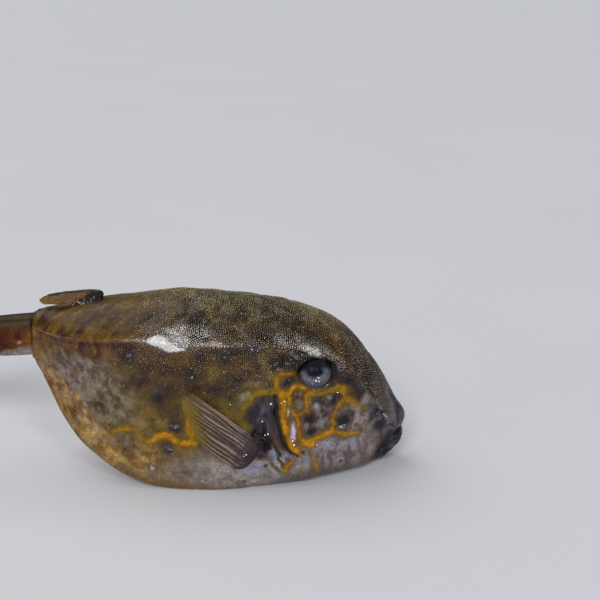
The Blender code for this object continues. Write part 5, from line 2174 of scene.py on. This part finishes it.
@dataclass
class Drops:
    """Beads of water on the right flank, each a low dome that faces the window."""

    base: SkinMesh
    fin: Fin
    shape: Dome = Dome(10)
    top_share: float = 0.8
    bulge: float = 0.05
    stand: Flat = (0.12, 0.3)
    sunk: float = 0.1
    turn: float = -1.5
    fin_stand: float = 0.26
    fin_sunk: float = 0.2
    shine: Point = (-0.11, -0.857, 0.503)
    fin_colour: Colour = srgb(70, 54, 62)
    fin_beads: tuple[Triple, ...] = ((112.2, 20.2, 0.36), (113.6, 20.9, 0.44))
    beads: tuple[Triple, ...] = (
        (126.8, 46.7, 0.48), (121.9, 36.9, 0.36), (123.2, 29.2, 0.34), (124.9, 29.6, 0.46),
        (133.4, 47.6, 0.4), (132, 47.4, 0.3), (135.6, 42.5, 0.3), (138.1, 26.3, 0.44), (138.7, 23.8, 0.5),
        (137.2, 28.6, 0.3), (161.1, 50.6, 0.46), (163.4, 30.9, 0.32), (165, 31.7, 0.3),
        (187.6, 31.7, 0.36), (188.8, 30, 0.3), (54.2, 72, 0.32), (62, 71.2, 0.32), (85.8, 62.3, 0.3),
        (87.1, 61.6, 0.28), (77.5, 34.8, 0.26), (73.9, 22.4, 0.3), (117.3, 76.7, 0.34),
        (119.9, 75.7, 0.3), (150.8, 22.3, 0.3), (105.8, 47.4, 0.28), (191.6, 31.2, 0.17),
        (186.3, 36.8, 0.2), (193.4, 24.4, 0.18), (183, 33.2, 0.16),
    )

    def build(self, finish: Material) -> Piece:
        """Makes the drops.

        Args:
            finish: Their material.

        Returns:
            The piece.
        """
        base, skin = self.base, self.base.skin
        right = base.turns < -1.0
        grid, normals = base.grid[:, right].reshape(-1, 3), base.normals[:, right].reshape(-1, 3)
        facing = unit(np.array(self.shine))
        first = unit(np.cross(facing, np.array([0.0, 0.0, 1.0])))
        turn = on_circle(self.shape.sides)
        ring = np.cos(turn)[:, None] * first + np.sin(turn)[:, None] * np.cross(facing, first)
        drops = []
        for x, z, size in self.beads:
            nearest = self.nearest(grid, x, z)
            place, normal = grid[nearest], normals[nearest]
            top = place + normal * (self.stand[0] + self.stand[1] * size) * MM
            flat = ring - (ring @ normal)[:, None] * normal
            drops.append(self.drop(top, place - normal * self.sunk * MM, ring, flat, facing, size * MM))
        for x, z, size in self.fin_beads:
            place = self.fin.surface[self.nearest(self.fin.surface, x, z)]
            top = place + np.array([0, -self.fin_stand, 0]) * size * MM
            foot = place + np.array([0, self.fin_sunk * MM, 0])
            drops.append(self.drop(top, foot, ring, ring, facing, size * MM))
        faces = self.shape.faces(len(drops))
        piece = make_object("water_drops", np.concatenate(drops), faces, finish, ())
        self.shape.sharpen(piece)
        at = base.where(np.array([drop[0] for drop in drops]), np.full(len(drops), self.turn))
        colour = np.clip(skin.bright(skin.colour(at), at), 0.02, 1)
        colour[len(self.beads):] = self.fin_colour
        store(piece, "ground", np.repeat(colour, self.shape.points(), axis=0))
        return piece

    @staticmethod
    def nearest(points: Array, x: float, z: float) -> int:
        """Finds the point nearest to a place on the flank, in millimetres."""
        return int(np.hypot(points[:, 0] - x * MM, points[:, 2] - z * MM).argmin())

    def drop(self, top: Array, foot: Array, ring: Array, flat: Array, facing: Array, size: float) -> Array:
        """Shapes one drop from the middles and the directions of its inner ring and its outer one."""
        apex = (top + facing * self.bulge * size)[None]
        return np.concatenate((apex, top + ring * self.top_share * size, foot + flat * size))


@dataclass
class Eye:
    """An eyeball with a domed cornea, set in its socket."""

    node: str
    side: float
    centre: Point = (0.1495, 0.0273, 0.0616)
    semi_axes: Point = (0.0088, 0.0066, 0.0084)
    forward: float = 13.0
    upward: float = 5.0
    pupil: Flat = (-0.0015, 0.0027)
    pupil_stretch: float = 1.2
    cornea_reach: float = 0.0064
    cornea_rise: float = 0.0004
    bead_stand: float = 0.3
    bead_bulge: float = 0.05
    beads: tuple[Triple, ...] = (
        (0.3, -0.9, 0.74), (-1.0, -2.4, 0.8), (0.6, -2.9, 0.64), (-3.9, 0.0, 0.46), (-2.8, -4.2, 0.52),
        (-2.1, -3.2, 0.4), (1.7, -3.5, 0.36), (1.3, -1.7, 0.34))
    shine: Point = (-0.123, 0.866, 0.485)
    rings: int = 160
    segments: int = 180
    pole_gap: float = 0.012

    def stance(self) -> Array:
        """Gives how the eyeball is turned in its socket.

        Returns:
            A matrix that turns points in columns.
        """
        up, forward = math.radians(self.upward), math.radians(-self.forward)
        tilt = np.array([[1, 0, 0], [0, math.cos(up), -math.sin(up)], [0, math.sin(up), math.cos(up)]])
        swing = np.array([[math.cos(forward), -math.sin(forward), 0],
                          [math.sin(forward), math.cos(forward), 0], [0, 0, 1]])
        return swing @ tilt

    def beaded(self, x: Array, y: Array, z: Array) -> Array:
        """Raises beads of water on the front of the eyeball.

        Args:
            x: The x of its points.
            y: The y of its points.
            z: The z of its points.

        Returns:
            The new y of its points.
        """
        facing = self.stance().T @ np.array(self.shine)
        for bead_x, bead_z, size in self.beads:
            across, over = x / MM - bead_x, z / MM - bead_z
            reach = np.hypot(across, over) / size
            share = 1 - (bead_x * MM / self.semi_axes[0]) ** 2 - (bead_z * MM / self.semi_axes[2]) ** 2
            top = self.semi_axes[1] * math.sqrt(share) / MM + self.bead_stand * size + self.cornea_rise / MM
            top = top - (facing[0] * across + facing[2] * over) / facing[1] - self.bead_bulge * reach ** 2
            mask = ease(reach, 1.15, 0.85)
            y = np.where(y > 0, y * (1 - mask) + top * MM * mask, y)
        return y

    def build(self, finish: Material) -> Piece:
        """Makes the eye.

        Args:
            finish: Its material.

        Returns:
            The piece.
        """
        x, y, z = ball(self.semi_axes, self.rings, self.segments, self.pole_gap)
        gap = np.hypot((x - self.pupil[0]) / self.pupil_stretch, z - self.pupil[1])
        y = y + np.where(y > 0, self.cornea_rise * ease(gap, self.cornea_reach, 0.0), 0.0)
        y = self.beaded(x, y, z)
        points = np.stack((x, y, z), axis=-1).reshape(-1, 3) @ self.stance().T + np.array(self.centre)
        points *= np.array([1, self.side, 1])
        number, last = wrapped(self.rings, self.segments), len(points)
        poles = np.stack((points[:self.segments].mean(axis=0), points[-self.segments:].mean(axis=0)))
        fans = [np.stack((first, second, np.full(self.segments, pole), np.full(self.segments, pole)), -1)
                for first, second, pole in ((number[0, 1:], number[0, :-1], last),
                                            (number[-1, :-1], number[-1, 1:], last + 1))]
        faces = cells_of(number).reshape(-1, 4)
        if self.side > 0:
            faces, fans = faces[:, ::-1], [fan[:, ::-1] for fan in fans]
        faces = np.concatenate((faces, *fans))
        triangles = np.concatenate((faces[:, [0, 1, 2]], faces[:, [0, 2, 3]]))
        whole = (triangles != np.roll(triangles, 1, axis=1)).all(axis=1)
        piece = make_object(self.node + "_ball", np.concatenate((points, poles)), triangles[whole], finish,
                            (self.node,))
        shade = ease(z / MM + 0.25 * np.abs(x / MM), 2.4, 6.2)
        gloss = 0.8 * ease(z / MM, 0.9, -0.3) * np.ones_like(x)
        for name, values, ends in (
                ("pupil_gap", np.where(y > 0, gap, 0.02) / MM, [self.pupil[1] / MM, FAR]),
                ("rim_gap", np.hypot(x / self.semi_axes[0], z / self.semi_axes[2]), [0.0, 1.0]),
                ("shade", shade, [0.0, 0.0]), ("gloss", gloss, [0.0, 0.0])):
            store(piece, name, np.concatenate((values.reshape(-1), ends)))
        return piece


@dataclass
class Lip:
    """A lip: an egg-shaped lump bent back round the snout, wrinkled."""

    node: str
    centre: Point
    semi_axes: Point
    tilt: float
    bend: float
    droop: float
    wrinkle: float = 0.45 * MM
    rings: int = 72
    segments: int = 80
    pole_gap: float = 0.01
    lowest: float = 0.0002

    def build(self, finish: Material) -> Piece:
        """Makes the lip.

        Args:
            finish: Its material.

        Returns:
            The piece.
        """
        whole = ball(self.semi_axes, self.rings, self.segments, self.pole_gap)
        away = unit(np.stack([part / axis ** 2 for part, axis in zip(whole, self.semi_axes)], axis=-1))
        x, y, z = (part / MM for part in whole)
        noise = SoftNoise(71)
        crease = 1 - np.abs(noise.at(x * 1.3, y * 0.45, z * 1.3, 2.0))
        push = self.wrinkle * (1.2 * (0.75 - crease) + 0.5 * noise.at(x, y, z, 1.1))
        x, y, z = (part + push * away[..., axis] for axis, part in enumerate(whole))
        tilt, bent = math.radians(self.tilt), (y / self.semi_axes[1]) ** 2
        points = np.stack((
            self.centre[0] + x * math.cos(tilt) - z * math.sin(tilt) - self.bend * bent,
            y,
            self.centre[2] + x * math.sin(tilt) + z * math.cos(tilt) - self.droop * bent), axis=-1)
        points[..., 2] = np.maximum(points[..., 2], self.lowest)
        faces = cells_of(wrapped(self.rings, self.segments)).reshape(-1, 4)
        points = points.reshape(-1, 3)
        return make_object(self.node + "_flesh", points, faces, finish, (self.node,))


@dataclass(frozen=True)
class Lamp:
    """A far soft lamp: the way to it, its width in degrees and its strength."""

    name: str
    way: Point
    width: float
    power: float
    colour: Colour = (1.0, 1.0, 1.0)

    def build(self) -> None:
        """Makes the lamp."""
        light = bpy.data.lights.new(self.name, "SUN")
        light.angle = math.radians(self.width)
        light.energy = self.power
        light.color = self.colour
        holder = bpy.data.objects.new(self.name, light)
        holder.location = self.way
        x, y, z = self.way
        holder.rotation_euler = (math.atan2(math.hypot(x, y), z), 0.0, math.atan2(-x, y) + math.pi)
        bpy.context.scene.collection.objects.link(holder)


@dataclass
class Studio:
    """The pale floor, the soft lamps and the camera."""

    camera_place: Point = (0.09381, -0.50926, 0.25779)
    camera_pitch: float = 18.0
    lens: float = 60.0
    sensor: float = 36.0
    clip: Flat = (0.01, 50.0)
    floor_reach: float = 40.0
    floor_colour: Colour = srgb(219, 220, 226)
    sky: Colour = (0.92, 0.95, 1.0)
    sky_strength: float = 0.26
    lamps: tuple[Lamp, ...] = (
        Lamp("key_lamp", (-0.42, 0.28, 0.86), 50.0, 1.1, (1.0, 0.98, 0.95)),
        Lamp("window_lamp", (-0.228, -0.792, 0.569), 18.0, 1.2, (1.0, 0.99, 0.97)),
        Lamp("brow_lamp", (0.386, -0.749, 0.541), 13.0, 0.6, (0.96, 0.98, 1.0)),
    )

    def build(self) -> None:
        """Makes them all."""
        self.floor()
        for lamp in self.lamps:
            lamp.build()
        world = bpy.data.worlds.new("studio")
        world.use_nodes = True
        background = world.node_tree.nodes["Background"]
        background.inputs["Color"].default_value = (*self.sky, 1.0)
        background.inputs["Strength"].default_value = self.sky_strength
        bpy.context.scene.world = world
        bpy.context.scene.view_settings.view_transform = "Standard"
        self.camera()

    def floor(self) -> None:
        """Makes the pale floor."""
        graph = Graph("pale_floor")
        colour = graph.gain(self.floor_colour, graph.noise(0.35, 2.0), 0.985, 1.01)
        graph.set(Base_Color=colour, Roughness=0.55)
        reach = self.floor_reach
        mesh = bpy.data.meshes.new("floor")
        corners = [(-reach, -reach, 0), (reach, -reach, 0), (reach, reach, 0), (-reach, reach, 0)]
        mesh.from_pydata(corners, [], [(0, 1, 2, 3)])
        mesh.materials.append(graph.material)
        floor = bpy.data.objects.new("floor", mesh)
        bpy.context.scene.collection.objects.link(floor)

    def camera(self) -> None:
        """Sets up the camera."""
        data = bpy.data.cameras.new("camera")
        data.lens = self.lens
        data.sensor_width = self.sensor
        data.clip_start, data.clip_end = self.clip
        holder = bpy.data.objects.new("camera", data)
        holder.location = self.camera_place
        holder.rotation_euler = (math.radians(90 - self.camera_pitch), 0, 0)
        bpy.context.scene.collection.objects.link(holder)
        bpy.context.scene.camera = holder


def report(piece: Piece) -> None:
    """Logs a piece and its number of faces."""
    LOG.info("%s: %d faces", piece.name, len(piece.data.polygons))


def fins_and_finishes() -> tuple[tuple[Fin, Material], ...]:
    """Gives the five fins in their own finishes, the right breast fin first.

    Returns:
        Pairs of a fin and its material.
    """
    breast = FinMembrane("pectoral_web", srgb(178, 160, 150), srgb(84, 68, 60), srgb(84, 68, 34),
                         srgb(46, 34, 40), fade=0.85, root_blend=0.95).build()
    back = FinMembrane("dorsal_web", srgb(158, 114, 50), srgb(96, 66, 26), srgb(122, 90, 40),
                       srgb(12, 11, 12), ringed=True, lead=0.85).build()
    rear = FinMembrane("caudal_web", srgb(136, 98, 44), srgb(86, 56, 24), srgb(104, 78, 38),
                       srgb(94, 60, 24)).build()
    low = FinMembrane("anal_web", srgb(140, 120, 82), srgb(92, 74, 46), srgb(118, 98, 60),
                      srgb(70, 58, 46)).build()
    pair = (Fin(node, PECTORAL, side, ray_width=0.31, wander=0.34, fold=0.42 * MM, stained=1.0,
                flesh_reach=0.46, flesh_fall=1.25, lobe=0.17, lobe_dip=4.0 * MM)
            for node, side in (("pectoral_fin_right", RIGHT), ("pectoral_fin_left", LEFT)))
    return (*((fin, breast) for fin in pair),
            (Fin("dorsal_fin", DORSAL, columns_to_ray=10, rows=48), back),
            (Fin("anal_fin", ANAL, columns_to_ray=10, rows=48), low),
            (Fin("caudal_fin", CAUDAL), rear))


def lips_and_finishes() -> tuple[tuple[Lip, LipSkin], ...]:
    """Gives the two lips and their finishes.

    Returns:
        Pairs of a lip and its finish.
    """
    upper = Lip("upper_lip", (0.1922, 0.0, 0.0142), (0.0063, 0.0114, 0.0078), -38.0, 0.0086, 0.008)
    lower = Lip("lower_lip", (0.186, 0.0, 0.0044), (0.005, 0.0096, 0.0038), -20.0, 0.0052, 0.0004,
                wrinkle=0.25 * MM)
    return ((upper, LipSkin("upper_lip_skin", srgb(13, 12, 16), srgb(60, 60, 62))),
            (lower, LipSkin("lower_lip_skin", srgb(50, 48, 60), srgb(92, 90, 108))))


def main() -> None:
    """Builds the classes in order and reports each piece."""
    logging.basicConfig(level=logging.INFO, format="%(message)s")
    Studio().build()
    fins = fins_and_finishes()
    for fin, finish in fins:
        report(fin.build(finish))
    skin = Skin(Marks())
    base = SkinMesh(skin, ShellForm(), StalkForm())
    report(base.build(WetSkin().build(skin)))
    granule = WetGranule().build()
    for name, zone, sides in (("granules_back", Zone.BACK, (RIGHT, LEFT)),
                              ("granules_flank_right", Zone.FLANK, (RIGHT,)),
                              ("granules_flank_left", Zone.FLANK, (LEFT,)),
                              ("granules_belly", Zone.BELLY, (RIGHT, LEFT))):
        report(Granules(name, base, zone, sides).build(granule))
    report(Drops(base, fins[0][0]).build(WetDrop().build()))
    eye = EyeSurface().build()
    for word, side in (("right", RIGHT), ("left", LEFT)):
        report(Eye(f"eye_{word}", side).build(eye))
    for lip, lip_skin in lips_and_finishes():
        report(lip.build(lip_skin.build()))


if __name__ == "__main__":
    main()
